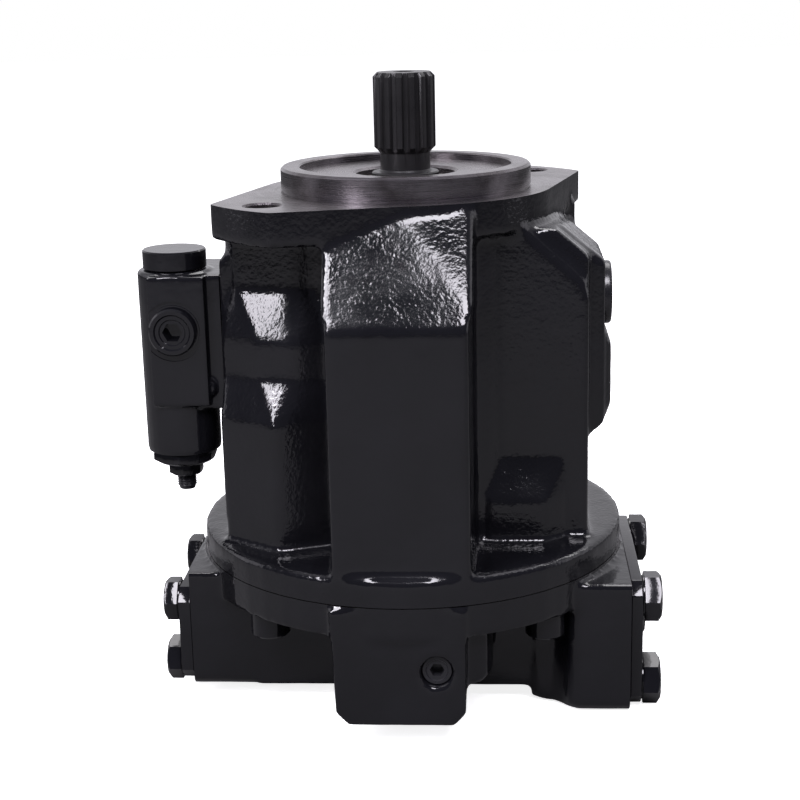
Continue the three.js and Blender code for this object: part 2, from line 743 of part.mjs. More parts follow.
function compensatorParts() {
  const at = (mesh) => {
    mesh.position.x = VALVE_X;
    mesh.position.y = VALVE_Y;
    return mesh;
  };
  const topPlug = join([
    turned([[0, 178.3], [12.8, 178.3], [12.8, 185.4], [12, 186], [0, 186]], 28),
    rod(7.6, 172, 179, 0, 0, 16),
  ]);
  const sidePlug = cut(join([
    turned([[0, GAP], [9.6, GAP], [9.6, 2], [8.8, 2.8], [0, 2.8]], 20),
    rod(7, -6, 1, 0, 0, 16),
  ]), [hexagon(7, -3, 4)]);
  const cap = cut(join([
    hexagon(24, 97.5, VALVE_BOTTOM - GAP),
    rod(9, 100, 109, 0, 0, 20),
  ]), [rod(4.3, 90, 112, 0, 0, 12)]);
  const nut = cut(solid(hexagon(13, 91.6, 97.2)), [rod(4.3, 90, 100, 0, 0, 12)]);
  const screw = solid(rod(4, 85, 113, 0, 0, 12));
  const seat = solid(rod(7.5, 113.3, 116, 0, 0, 16));
  const spool = join([
    rod(7.2, 136.6, 138.8, 0, 0, 16),
    rod(3.7, 138, 151, 0, 0, 14),
    rod(2.6, 150, 158, 0, 0, 14),
    rod(3.7, 157, 168.5, 0, 0, 14),
  ]);
  const side = piece('compensator_side_plug', sidePlug, BLACK_STEEL);
  side.rotation.x = Math.PI / 2;
  side.position.set(SIDE_PLUG_X, VALVE_FRONT, SIDE_PLUG_Z);
  const coil = at(piece('compensator_spring', solid(spring(6, 1.1, 20, 4)), SPRING_STEEL));
  coil.position.z = 116.3;
  return [
    at(piece('compensator_top_plug', topPlug, BLACK_STEEL)),
    at(piece('compensator_spring_cap', cap, BLACK_STEEL)),
    at(piece('adjuster_lock_nut', nut, BLACK_STEEL)),
    at(piece('adjusting_screw', screw, BLACK_STEEL)),
    at(piece('spring_seat', seat, STEEL)),
    at(piece('compensator_spool', spool, STEEL)),
    side,
    coil,
  ];
}

// ---- Assembly --------------------------------------------------------------

const pump = new THREE.Group();
const { fixed, turning } = bearingsAndSeal();
pump.add(
  housing(),
  endCap(),
  portCover('suction_cover', SUCTION),
  portCover('pressure_cover', PRESSURE),
  ...coverBolts('suction_cover_bolt', SUCTION),
  ...coverBolts('pressure_cover_bolt', PRESSURE),
  ...capScrews(),
  gaugePlug(),
  drainPlug(),
  driveShaft(),
  ...fixed,
  ...turning,
  cylinderBlock(),
  valvePlate(),
  retainingBall(),
  blockSpring(),
  tiltingGroup(),
  cradleBearing(),
  ...pistons(),
  ...strokePistons(),
  compensatorBody(),
  ...compensatorParts(),
);

export default pump;
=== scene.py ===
# Axial piston pump with a tilting swashplate: gloss black castings, a bare machined
# mounting face, a splined drive shaft and a pressure compensator on its left side.
import math

import bmesh
import bpy
from mathutils import Matrix, Vector, noise


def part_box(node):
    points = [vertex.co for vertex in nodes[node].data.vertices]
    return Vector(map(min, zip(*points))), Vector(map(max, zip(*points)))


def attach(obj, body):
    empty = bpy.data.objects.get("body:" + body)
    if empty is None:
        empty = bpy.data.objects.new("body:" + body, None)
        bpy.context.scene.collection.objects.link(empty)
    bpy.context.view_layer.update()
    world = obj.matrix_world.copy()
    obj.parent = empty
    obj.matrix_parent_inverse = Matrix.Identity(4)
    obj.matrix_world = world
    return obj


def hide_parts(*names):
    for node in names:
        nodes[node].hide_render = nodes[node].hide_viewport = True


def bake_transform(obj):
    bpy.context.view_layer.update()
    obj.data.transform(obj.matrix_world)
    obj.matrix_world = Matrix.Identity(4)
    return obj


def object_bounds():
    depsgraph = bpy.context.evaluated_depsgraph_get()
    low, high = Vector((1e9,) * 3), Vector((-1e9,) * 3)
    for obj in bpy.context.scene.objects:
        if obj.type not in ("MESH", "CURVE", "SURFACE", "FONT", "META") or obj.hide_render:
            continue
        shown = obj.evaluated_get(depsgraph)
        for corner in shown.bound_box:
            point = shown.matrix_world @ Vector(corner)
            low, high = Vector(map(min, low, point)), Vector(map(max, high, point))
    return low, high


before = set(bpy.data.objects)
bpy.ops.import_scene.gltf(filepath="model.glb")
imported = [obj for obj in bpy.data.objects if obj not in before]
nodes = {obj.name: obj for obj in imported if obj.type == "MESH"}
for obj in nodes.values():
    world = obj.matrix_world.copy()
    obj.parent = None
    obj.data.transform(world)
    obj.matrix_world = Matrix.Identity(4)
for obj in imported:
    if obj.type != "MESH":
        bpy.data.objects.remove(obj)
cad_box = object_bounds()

scene = bpy.context.scene
scene.view_settings.view_transform = "Standard"

# ---- Camera ------------------------------------------------------------------
# A long lens a little above the mounting face, looking at the control lobe from
# slightly right of the pump's middle.

shaft_top = cad_box[1].z
camera_data = bpy.data.cameras.new("camera")
camera_data.lens = 71.18
camera_data.sensor_width = 36
camera_data.clip_start = 0.05
camera = bpy.data.objects.new("camera", camera_data)
camera.location = (0.03746, -0.64534, shaft_top + 0.03417)
camera.rotation_euler = [math.radians(angle) for angle in (75.2407, 1.2585, 3.378)]
scene.collection.objects.link(camera)
scene.camera = camera

# ---- Floor, room and lamps ---------------------------------------------------
# A plain pale floor in a white room. The pump stands on its rear pad between soft
# lamps: three in front, one on each side and one above.


def material(name):
    """A new material with its nodes and its links."""
    made = bpy.data.materials.new(name)
    made.use_nodes = True
    return made, made.node_tree.nodes, made.node_tree.links


def shader_part(parts, kind, values=None, **settings):
    """A shader node with its settings made and then its named sockets set."""
    made = parts.new(kind)
    for setting, value in settings.items():
        setattr(made, setting, value)
    for socket, value in (values or {}).items():
        made.inputs[socket].default_value = value
    return made


def floor_material():
    """Pale to the eye; what it throws back at the pump is kept low, as in a dark studio."""
    made, parts, links = material("pale_floor")
    shader = parts["Principled BSDF"]
    grain = shader_part(parts, "ShaderNodeTexNoise", {"Scale": 40})
    tone = shader_part(parts, "ShaderNodeMapRange", {"To Min": 0.92, "To Max": 0.96})
    path = parts.new("ShaderNodeLightPath")
    seen = shader_part(parts, "ShaderNodeMapRange", {"To Min": 0.16})
    links.new(grain.outputs["Fac"], tone.inputs["Value"])
    links.new(path.outputs["Is Camera Ray"], seen.inputs["Value"])
    links.new(tone.outputs["Result"], seen.inputs["To Max"])
    links.new(seen.outputs["Result"], shader.inputs["Base Color"])
    glow = shader_part(parts, "ShaderNodeMapRange", {"To Max": 0.84})
    links.new(path.outputs["Is Camera Ray"], glow.inputs["Value"])
    links.new(glow.outputs["Result"], shader.inputs["Emission Color"])
    shader.inputs["Emission Strength"].default_value = 1.0
    shader.inputs["Roughness"].default_value = 0.8
    shader.inputs["Specular IOR Level"].default_value = 0.0
    return made


floor_mesh = bpy.data.meshes.new("floor")
reach = 6
floor_z = cad_box[0].z
corners = [(-reach, -reach), (reach, -reach), (reach, reach), (-reach, reach)]
floor_mesh.from_pydata([(x, y, floor_z) for x, y in corners], [], [(0, 1, 2, 3)])
floor_mesh.materials.append(floor_material())
floor = bpy.data.objects.new("floor", floor_mesh)
scene.collection.objects.link(floor)


def room():
    """White all round, darker towards the front, where the reflections stay deep."""
    world = bpy.data.worlds.new("room")
    world.use_nodes = True
    parts, links = world.node_tree.nodes, world.node_tree.links
    way = parts.new("ShaderNodeTexCoord")
    split = parts.new("ShaderNodeSeparateXYZ")
    depth = shader_part(parts, "ShaderNodeMapRange", {
        "From Min": -0.35, "From Max": 0.75,
    }, interpolation_type="SMOOTHSTEP")
    tint = shader_part(parts, "ShaderNodeMix", {
        "A": (0.10, 0.10, 0.13, 1), "B": (0.80, 0.79, 0.84, 1),
    }, data_type="RGBA")
    path = parts.new("ShaderNodeLightPath")
    seen = shader_part(parts, "ShaderNodeMix", {"B": (1, 1, 1, 1)}, data_type="RGBA")
    links.new(way.outputs["Generated"], split.inputs["Vector"])
    links.new(split.outputs["Y"], depth.inputs["Value"])
    links.new(depth.outputs["Result"], tint.inputs["Factor"])
    links.new(path.outputs["Is Camera Ray"], seen.inputs["Factor"])
    links.new(tint.outputs["Result"], seen.inputs["A"])
    links.new(seen.outputs["Result"], parts["Background"].inputs["Color"])
    scene.world = world


def lamp(name, place, aim, size, glow, colour=(1.0, 0.98, 1.0)):
    """A soft lamp whose face has the given glow; power follows from its size."""
    data = bpy.data.lights.new(name, "AREA")
    data.shape = "RECTANGLE"
    data.size, data.size_y = size
    data.energy = glow * math.pi * size[0] * size[1]
    data.color = colour
    made = bpy.data.objects.new(name, data)
    made.location = place
    away = Vector(aim) - Vector(place)
    made.rotation_euler = away.to_track_quat("-Z", "Y").to_euler()
    scene.collection.objects.link(made)


room()
middle = (0, 0, 0.12)
LAVENDER = (0.95, 0.92, 1.0)
lamp("left_front_lamp", (-0.57, -0.81, 1.2), middle, (0.56, 0.5), 20, LAVENDER)
lamp("right_front_lamp", (0.36, -0.81, 1.2), middle, (0.60, 0.5), 20, LAVENDER)
lamp("left_low_lamp", (-0.80, -0.84, 0.78), middle, (0.24, 0.62), 18, LAVENDER)
lamp("left_side_lamp", (-1.3, 0.1, 0.5), middle, (0.5, 0.9), 0.7, LAVENDER)
lamp("right_side_lamp", (1.3, 0.1, 0.5), middle, (0.5, 0.9), 0.7, LAVENDER)
lamp("top_lamp", (0, 0.9, 1.4), middle, (1.6, 0.7), 4)

# ---- Housing -----------------------------------------------------------------
# One grey iron casting, painted gloss black: a round barrel with a flat-faced lobe
# over each stroking piston, stepped lobes under the flange's ears, and a disc at
# its foot. The mounting face, pilot and bores are machined after painting.

MM = 0.001


def box_of(node):
    """The low and high corner of a node's box, in mm."""
    return [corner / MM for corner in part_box(node)]


def around(radius, angle, height):
    """The point at an angle round Z, in the unit of the radius and the height."""
    return radius * math.cos(angle), radius * math.sin(angle), height


def finished(work, name):
    """The mesh that a mesh under construction ends as."""
    mesh = bpy.data.meshes.new(name)
    work.to_mesh(mesh)
    work.free()
    return mesh


def turned(profile, sides=96):
    """Turns a profile of (radius, height) pairs in mm about Z, closing it at the axis
    or on itself."""
    work = bmesh.new()
    rings = []
    for radius, height in profile:
        angles = [2 * math.pi * step / sides for step in range(sides)] if radius else [0]
        points = [around(radius, angle, height) for angle in angles]
        rings.append([work.verts.new([c * MM for c in point]) for point in points])
    closed = profile[0][0] != 0
    pairs = list(zip(rings, rings[1:] + rings[:1] if closed else rings[1:]))
    for low, high in pairs:
        for step in range(sides):
            after = (step + 1) % sides
            corners = [low[step % len(low)], low[after % len(low)]]
            corners += [high[after % len(high)], high[step % len(high)]]
            corners = list(dict.fromkeys(corners))
            if len(corners) > 2:
                work.faces.new(corners)
    bmesh.ops.recalc_face_normals(work, faces=work.faces)
    return finished(work, "turned")


def rod(radius, low, high, sides=96):
    """A plain cylinder on Z between two heights."""
    return turned([(0, low), (radius, low), (radius, high), (0, high)], sides)


def block(low, high):
    """A box between two corners in mm."""
    work = bmesh.new()
    bmesh.ops.create_cube(work, size=1)
    low, high = Vector(low) * MM, Vector(high) * MM
    size = high - low
    bmesh.ops.transform(work, matrix=Matrix.Diagonal((*size, 1)), verts=work.verts)
    bmesh.ops.translate(work, vec=(low + high) / 2, verts=work.verts)
    return finished(work, "block")


def moved(mesh, place=(0, 0, 0), turn=(0, 0, 0)):
    """The mesh turned by degrees about X, Y and Z, then moved by mm."""
    for angle, axis in zip(turn, "XYZ"):
        mesh.transform(Matrix.Rotation(math.radians(angle), 4, axis))
    mesh.transform(Matrix.Translation(Vector(place) * MM))
    return mesh


def joined(*meshes):
    """One mesh holding all the given shells."""
    work = bmesh.new()
    for mesh in meshes:
        work.from_mesh(mesh)
    return finished(work, "joined")


def welded(node):
    """A node's own mesh with its split corners joined again."""
    work = bmesh.new()
    work.from_mesh(nodes[node].data)
    bmesh.ops.remove_doubles(work, verts=work.verts, dist=1e-6)
    return finished(work, node)


def add_piece(name, mesh, *looks):
    """A new object of the mesh, with its materials in slot order."""
    mesh.name = name
    mesh.materials.clear()
    for look in looks:
        mesh.materials.append(look)
    made = bpy.data.objects.new(name, mesh)
    scene.collection.objects.link(made)
    return made


def settle(piece):
    """Replaces the piece's mesh by what its modifiers make of it."""
    bpy.context.view_layer.update()
    view = bpy.context.evaluated_depsgraph_get()
    finished = bpy.data.meshes.new_from_object(piece.evaluated_get(view))
    piece.modifiers.clear()
    piece.data = finished


def combine(piece, tool, operation="DIFFERENCE"):
    """Cuts a tool mesh out of the piece, or adds it; its faces get the piece's last look."""
    cutter = bpy.data.objects.new("tool", tool)
    looks = piece.data.materials
    tool.polygons.foreach_set("material_index", [len(looks) - 1] * len(tool.polygons))
    for look in looks:
        tool.materials.append(look)
    scene.collection.objects.link(cutter)
    change = piece.modifiers.new("combine", "BOOLEAN")
    change.operation = operation
    change.solver = "MANIFOLD"
    change.object = cutter
    settle(piece)
    bpy.data.objects.remove(cutter)


def cast(piece, grain, rounding, waves=0.08):
    """Gives a blank a casting's rounded edges, filled corners and uneven skin."""
    skin = piece.modifiers.new("skin", "REMESH")
    skin.mode = "VOXEL"
    skin.voxel_size = grain * MM
    soft = piece.modifiers.new("rounding", "SMOOTH")
    soft.factor = 0.5
    soft.iterations = rounding
    settle(piece)
    mesh = piece.data
    outward = [vertex.normal.copy() for vertex in mesh.vertices]
    for vertex, out in zip(mesh.vertices, outward):
        wave = noise.noise(vertex.co * 110) + 0.4 * noise.noise(vertex.co * 330)
        vertex.co += out * wave * waves * MM


def fit(piece, body, slot, *stands_for):
    """Shades the finished piece and puts it on its body, in place of its nodes."""
    piece.data.shade_smooth()
    piece.data.set_sharp_from_angle(angle=math.radians(32))
    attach(piece, body)
    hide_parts(*stands_for)


def skin_group():
    """Cast skin under paint: fine peel and broad waves as a height, and a blotch mask."""
    group = bpy.data.node_groups.new("Cast skin", "ShaderNodeTree")
    face = group.interface
    for label, value in (("Peel size", 700.0), ("Peel depth", 1.0), ("Wave depth", 0.5)):
        socket = face.new_socket(label, in_out="INPUT", socket_type="NodeSocketFloat")
        socket.default_value = value
    face.new_socket("Height", in_out="OUTPUT", socket_type="NodeSocketFloat")
    face.new_socket("Blotch", in_out="OUTPUT", socket_type="NodeSocketFloat")
    parts, links = group.nodes, group.links
    given = parts.new("NodeGroupInput")
    result = parts.new("NodeGroupOutput")
    place = parts.new("ShaderNodeTexCoord")
    peel = shader_part(parts, "ShaderNodeTexNoise", {"Detail": 2, "Roughness": 0.45})
    wave = shader_part(parts, "ShaderNodeTexNoise", {"Scale": 130, "Detail": 1})
    blotch = shader_part(parts, "ShaderNodeTexNoise", {"Scale": 38, "Detail": 4})
    fine = parts.new("ShaderNodeMath")
    broad = parts.new("ShaderNodeMath")
    total = parts.new("ShaderNodeMath")
    fine.operation = broad.operation = "MULTIPLY"
    total.operation = "ADD"
    for texture in (peel, wave, blotch):
        links.new(place.outputs["Object"], texture.inputs["Vector"])
    links.new(given.outputs["Peel size"], peel.inputs["Scale"])
    links.new(peel.outputs["Fac"], fine.inputs[0])
    links.new(given.outputs["Peel depth"], fine.inputs[1])
    links.new(wave.outputs["Fac"], broad.inputs[0])
    links.new(given.outputs["Wave depth"], broad.inputs[1])
    links.new(fine.outputs["Value"], total.inputs[0])
    links.new(broad.outputs["Value"], total.inputs[1])
    links.new(total.outputs["Value"], result.inputs["Height"])
    links.new(blotch.outputs["Fac"], result.inputs["Blotch"])
    return group


cast_skin = skin_group()


def dress(shader, links, tone, sheen, bump):
    """Gives the shader its colour, its roughness and its relief."""
    links.new(tone.outputs["Result"], shader.inputs["Base Color"])
    links.new(sheen.outputs["Result"], shader.inputs["Roughness"])
    links.new(bump.outputs["Normal"], shader.inputs["Normal"])


def gloss_paint(name, peel, depth, wave, dull=0.2):
    """Gloss black enamel, thick enough to run a little, over a cast or machined skin."""
    made, parts, links = material(name)
    shader = parts["Principled BSDF"]
    skin = shader_part(parts, "ShaderNodeGroup", {
        "Peel size": peel, "Wave depth": wave,
    }, node_tree=cast_skin)
    bump = shader_part(parts, "ShaderNodeBump", {"Distance": depth * MM})
    sheen = shader_part(parts, "ShaderNodeMapRange", {
        "From Min": 0.35, "From Max": 0.7, "To Min": 0.07, "To Max": dull,
    })
    tone = shader_part(parts, "ShaderNodeMix", {
        "A": (0.0022, 0.0022, 0.0028, 1), "B": (0.0060, 0.0060, 0.0078, 1),
    }, data_type="RGBA")
    links.new(skin.outputs["Height"], bump.inputs["Height"])
    links.new(skin.outputs["Blotch"], sheen.inputs["Value"])
    links.new(skin.outputs["Blotch"], tone.inputs["Factor"])
    dress(shader, links, tone, sheen, bump)
    shader.inputs["IOR"].default_value = 1.5
    return made


def lathe_group():
    """Tool marks round the shaft's axis: rings by radius on a face, by height on a side."""
    group = bpy.data.node_groups.new("Turning marks", "ShaderNodeTree")
    face = group.interface
    for label, value in (("Marks per metre", 2500.0), ("Spread", 0.5)):
        socket = face.new_socket(label, in_out="INPUT", socket_type="NodeSocketFloat")
        socket.default_value = value
    face.new_socket("Marks", in_out="OUTPUT", socket_type="NodeSocketFloat")
    face.new_socket("Stain", in_out="OUTPUT", socket_type="NodeSocketFloat")
    parts, links = group.nodes, group.links
    given = parts.new("NodeGroupInput")
    result = parts.new("NodeGroupOutput")
    place = parts.new("ShaderNodeTexCoord")
    split = parts.new("ShaderNodeSeparateXYZ")
    flat = parts.new("ShaderNodeCombineXYZ")
    radius = shader_part(parts, "ShaderNodeVectorMath", operation="LENGTH")
    line = parts.new("ShaderNodeCombineXYZ")
    sweep = shader_part(parts, "ShaderNodeVectorMath", {"Scale": 0.02}, operation="SCALE")
    where = shader_part(parts, "ShaderNodeVectorMath", operation="ADD")
    marks = shader_part(parts, "ShaderNodeTexNoise", {"Detail": 3})
    stain = shader_part(parts, "ShaderNodeTexNoise", {"Scale": 55, "Detail": 6, "Roughness": 0.65})
    links.new(place.outputs["Object"], split.inputs["Vector"])
    links.new(split.outputs["X"], flat.inputs["X"])
    links.new(split.outputs["Y"], flat.inputs["Y"])
    links.new(flat.outputs["Vector"], radius.inputs[0])
    links.new(radius.outputs["Value"], line.inputs["X"])
    links.new(split.outputs["Z"], line.inputs["Y"])
    links.new(flat.outputs["Vector"], sweep.inputs[0])
    links.new(line.outputs["Vector"], where.inputs[0])
    links.new(sweep.outputs["Vector"], where.inputs[1])
    links.new(where.outputs["Vector"], marks.inputs["Vector"])
    links.new(given.outputs["Marks per metre"], marks.inputs["Scale"])
    links.new(given.outputs["Spread"], marks.inputs["Roughness"])
    links.new(place.outputs["Object"], stain.inputs["Vector"])
    links.new(marks.outputs["Fac"], result.inputs["Marks"])
    links.new(stain.outputs["Fac"], result.inputs["Stain"])
    return group


turning_marks = lathe_group()


def bare_metal(name, light, dark, smooth, rough, depth=0.012, fineness=2500.0):
    """Machined metal with turning marks, and darker where it is stained or oily."""
    made, parts, links = material(name)
    shader = parts["Principled BSDF"]
    lathe = shader_part(parts, "ShaderNodeGroup", {
        "Marks per metre": fineness,
    }, node_tree=turning_marks)
    tone = shader_part(parts, "ShaderNodeMix", {"A": (*dark, 1), "B": (*light, 1)}, data_type="RGBA")
    stained = shader_part(parts, "ShaderNodeMapRange", {"From Min": 0.34, "From Max": 0.56})
    polish = shader_part(parts, "ShaderNodeMapRange", {
        "From Min": 0.3, "From Max": 0.7, "To Min": smooth, "To Max": rough,
    })
    bump = shader_part(parts, "ShaderNodeBump", {"Distance": depth * MM})
    links.new(lathe.outputs["Stain"], stained.inputs["Value"])
    links.new(stained.outputs["Result"], tone.inputs["Factor"])
    links.new(lathe.outputs["Marks"], polish.inputs["Value"])
    links.new(lathe.outputs["Marks"], bump.inputs["Height"])
    dress(shader, links, tone, polish, bump)
    shader.inputs["Metallic"].default_value = 1.0
    return made


casting_paint = gloss_paint("casting_paint", 640.0, 0.13, 0.5)
pad_paint = gloss_paint("pad_paint", 420.0, 0.035, 0.9, 0.16)
machined_iron = bare_metal("machined_iron", (0.21, 0.195, 0.205), (0.10, 0.09, 0.092), 0.2, 0.34)

housing_low, housing_high = box_of("housing")
SPLIT = housing_low.z
PILOT_TOP = housing_high.z
PILOT_R = 50.8
FACE = PILOT_TOP - 9.5
RECESS_R = 43
SEAL_BORE_R = 20.3
CUP_BORE_R = 36.3
CUP_SEAT = 190.6
CAVITY_R = 47
CAVITY_TOP = 164
LOBE_FACE = 84
LOBE_SHOULDER = 163
STROKE_BORE_R = 11.3
STROKE_BORES = ((-1, 163), (1, 175))    # side and top: control piston, bias piston
PISTON_LINE = 63
HOLE_R = 7.15
HOLE_CIRCLE_R = 73
SPARE = 5                 # left on machined faces until they are cut
FAR = 120                 # reaches past the casting on every side

blank = welded("housing")
for vertex in blank.vertices:
    height = vertex.co.z / MM
    if height < SPLIT + 0.5:
        vertex.co.z -= SPARE * MM
    if height > FACE - 0.5:
        vertex.co.z += SPARE * MM
cores = [rod(CAVITY_R + 2, SPLIT - SPARE, FACE + SPARE)]
for side, top in STROKE_BORES:
    bore = rod(STROKE_BORE_R + 1.2, SPLIT - SPARE, top + 1, 32)
    cores.append(moved(bore, (0, side * PISTON_LINE, 0)))
    near, far = sorted((side * 39, side * (PISTON_LINE + 1)))
    cores.append(block((-11, near, 110), (11, far, top + 1)))
housing = add_piece("housing_casting", joined(blank, *cores), casting_paint, machined_iron)
cast(housing, 1.25, 14)

combine(housing, block((-FAR, -FAR, FACE), (FAR, FAR, FACE + 40)))
combine(housing, block((-FAR, -FAR, SPLIT - 40), (FAR, FAR, SPLIT)))
pilot = turned([
    (SEAL_BORE_R, FACE - 4), (PILOT_R - 0.6, FACE - 4), (PILOT_R - 0.6, FACE + 0.9),
    (PILOT_R, FACE + 1.1), (PILOT_R, PILOT_TOP - 1), (PILOT_R - 1, PILOT_TOP),
    (RECESS_R + 0.6, PILOT_TOP), (RECESS_R, PILOT_TOP - 0.6), (RECESS_R, PILOT_TOP - 3),
    (SEAL_BORE_R + 1, PILOT_TOP - 3), (SEAL_BORE_R, PILOT_TOP - 4),
], 160)
cavity = turned([
    (0, SPLIT - 1), (CAVITY_R + 1, SPLIT - 1), (CAVITY_R, SPLIT + 1), (CAVITY_R, CAVITY_TOP),
    (CUP_BORE_R, 172), (CUP_BORE_R, CUP_SEAT), (28, CUP_SEAT), (17, 194), (17, 203.9),
    (SEAL_BORE_R, 203.9), (SEAL_BORE_R, FACE + 20), (0, FACE + 20),
])
combine(housing, rod(SEAL_BORE_R, FACE - 6, FACE + 9))
combine(housing, pilot, "UNION")
combine(housing, cavity)
for side, top in STROKE_BORES:
    bore = rod(STROKE_BORE_R, SPLIT - 1, top, 48)
    combine(housing, moved(bore, (0, side * PISTON_LINE, 0)))
    near, far = sorted((side * 40, side * PISTON_LINE))
    combine(housing, block((-10, near, 112), (10, far, top)))
for side in (-1, 1):
    hole = turned([
        (0, FACE - 40), (HOLE_R, FACE - 40), (HOLE_R, FACE - 0.8), (HOLE_R + 0.75, FACE + 0.1),
        (0, FACE + 0.1),
    ], 48)
    place = side * HOLE_CIRCLE_R / math.sqrt(2)
    combine(housing, moved(hole, (place, place, 0)))
housing.data.materials.append(pad_paint)
for face in housing.data.polygons:
    x, y, z = face.center / MM
    if abs(y) > LOBE_FACE and z < LOBE_SHOULDER and face.material_index == 0:
        face.material_index = len(housing.data.materials) - 1
fit(housing, "root", "gloss_black_paint", "housing")

# ---- End cap -----------------------------------------------------------------
# The rear casting in the same painted iron: a disc against the housing, a thick bar
# across with a port block at each end, a square block at the front and a round pad.

cap_low, cap_high = box_of("end_cap")
CAP_TOP = cap_high.z
DISC_FOOT = 56
SHAFT_BORE_R = 15.5
PORT_LINE_Y, PORT_LINE_Z, PORT_CORE_R = -8.3, 28, 19
blank = welded("end_cap")
for vertex in blank.vertices:
    place = vertex.co / MM
    if place.z > CAP_TOP - 0.5:
        vertex.co.z += SPARE * MM
    if place.z < cap_low.z + 0.4:
        vertex.co.z -= SPARE * MM
    if place.x > cap_high.x - 0.2 and place.z < DISC_FOOT:
        vertex.co.x += SPARE * MM
    if place.x < cap_low.x + 0.2:
        vertex.co.x -= SPARE * MM
cores = [
    rod(SHAFT_BORE_R, PORT_LINE_Z, CAP_TOP + SPARE, 32),
    moved(rod(PORT_CORE_R, -94, 90, 32), (0, PORT_LINE_Y, PORT_LINE_Z), (0, 90, 0)),
]
cap_paint = gloss_paint("cap_paint", 480.0, 0.1, 0.7, 0.16)
end_cap = add_piece("end_cap_casting", joined(blank, *cores), cap_paint, machined_iron)
cast(end_cap, 1.2, 7)
for corner, opposite in (
    ((-FAR, -FAR, CAP_TOP), (FAR, FAR, CAP_TOP + 20)),
    ((-FAR, -FAR, cap_low.z - 20), (FAR, FAR, cap_low.z)),
    ((cap_high.x, -FAR, -20), (cap_high.x + 20, FAR, 80)),
    ((cap_low.x - 20, -FAR, -20), (cap_low.x, FAR, 80)),
):
    combine(end_cap, block(corner, opposite))
fit(end_cap, "root", "gloss_black_paint", "end_cap")

# ---- Port covers ---------------------------------------------------------------
# Flat steel blanking plates over the suction port on the right and the pressure port
# on the left, painted with the pump. Each is held by four hexagon screws.


def soften(piece, width, steps=3):
    """Breaks the piece's sharp edges."""
    edge = piece.modifiers.new("broken_edges", "BEVEL")
    edge.width = width * MM
    edge.segments = steps
    edge.limit_method = "ANGLE"
    edge.angle_limit = math.radians(40)


def dissolve_flats(mesh):
    """Leaves one face where several lie flat together."""
    work = bmesh.new()
    work.from_mesh(mesh)
    bmesh.ops.dissolve_limit(
        work, angle_limit=math.radians(1), verts=work.verts, edges=work.edges
    )
    work.to_mesh(mesh)
    work.free()
    return mesh


plate_paint = gloss_paint("plate_paint", 420.0, 0.05, 0.8, 0.14)
for side in ("suction", "pressure"):
    sheet = dissolve_flats(welded(f"{side}_cover"))
    plate = add_piece(f"{side}_port_cover_plate", sheet, plate_paint)
    soften(plate, 0.7)
    settle(plate)
    fit(plate, "root", "gloss_black_paint", f"{side}_cover")

# ---- Cover screws ----------------------------------------------------------------
# Hexagon screws through the covers, M12 on the suction side and M10 on the pressure
# side, with chamfered corners on a turned washer face, painted over with the pump.


def lofted(name, rings):
    """A skin over a stack of equal rings of points in mm, closed at both ends."""
    work = bmesh.new()
    made = [[work.verts.new([c * MM for c in point]) for point in ring] for ring in rings]
    for low, high in zip(made, made[1:]):
        for step, corner in enumerate(low):
            after = (step + 1) % len(low)
            work.faces.new((corner, low[after], high[after], high[step]))
    work.faces.new(list(reversed(made[0])))
    work.faces.new(made[-1])
    bmesh.ops.recalc_face_normals(work, faces=work.faces)
    return finished(work, name)


def hexagon_head(across, height, shank, length, sides=72):
    """A hexagon screw: seat at zero, head upwards, shank downwards."""
    flat = across / 2
    washer = flat * 0.95
    crown = flat * 0.93
    lean = math.tan(math.radians(30))

    def hex_radius(angle):
        return flat / math.cos((angle + math.pi / 6) % (math.pi / 3) - math.pi / 6)

    levels = [
        lambda a: (shank * 0.8, -length),
        lambda a: (shank, 1.2 - length),
        lambda a: (shank, -0.1),
        lambda a: (washer, 0.0),
        lambda a: (washer, 0.5),
        lambda a: (hex_radius(a) - 0.25, 0.5),
        lambda a: (hex_radius(a), 0.9),
        lambda a: (hex_radius(a), height - 0.15 - (hex_radius(a) - crown) * lean),
        lambda a: (hex_radius(a) - 0.35, height - 0.02 - (hex_radius(a) - crown) * lean),
        lambda a: (crown, height),
        lambda a: (crown * 0.55, height - 0.15),
    ]
    angles = [2 * math.pi * step / sides for step in range(sides)]
    rings = []
    for level in levels:
        sizes = [level(angle) for angle in angles]
        rings.append([around(radius, angle, z) for angle, (radius, z) in zip(angles, sizes)])
    return lofted("hexagon_head", rings)


screw_paint = gloss_paint("screw_paint", 520.0, 0.06, 0.5, 0.2)
for side, across, height, shank in (("suction", 18, 7.5, 5.9), ("pressure", 16, 6.4, 4.9)):
    out = 1 if side == "suction" else -1
    for number in range(1, 5):
        node = f"{side}_cover_bolt_{number}"
        low, high = box_of(node)
        seat = high.x - height if out > 0 else low.x + height
        mesh = hexagon_head(across, height, shank, high.x - low.x - height)
        place = (seat, (low.y + high.y) / 2, (low.z + high.z) / 2)
        moved(mesh, (0, 0, 0), (0, 90 * out, 0))
        moved(mesh, place, (6 * (number - 2), 0, 0))
        screw = add_piece(f"{side}_cover_screw_{number}", mesh, screw_paint)
        fit(screw, "root", "painted_fastener", node)

# ---- End cap screws --------------------------------------------------------------
# Four socket-head screws pull the end cap against the housing. Their heads hang
# under the disc between the port blocks.


def hexagon_prism(across, low, high):
    """A six-sided core for a socket."""
    return rod(across / math.sqrt(3), low, high, 6)


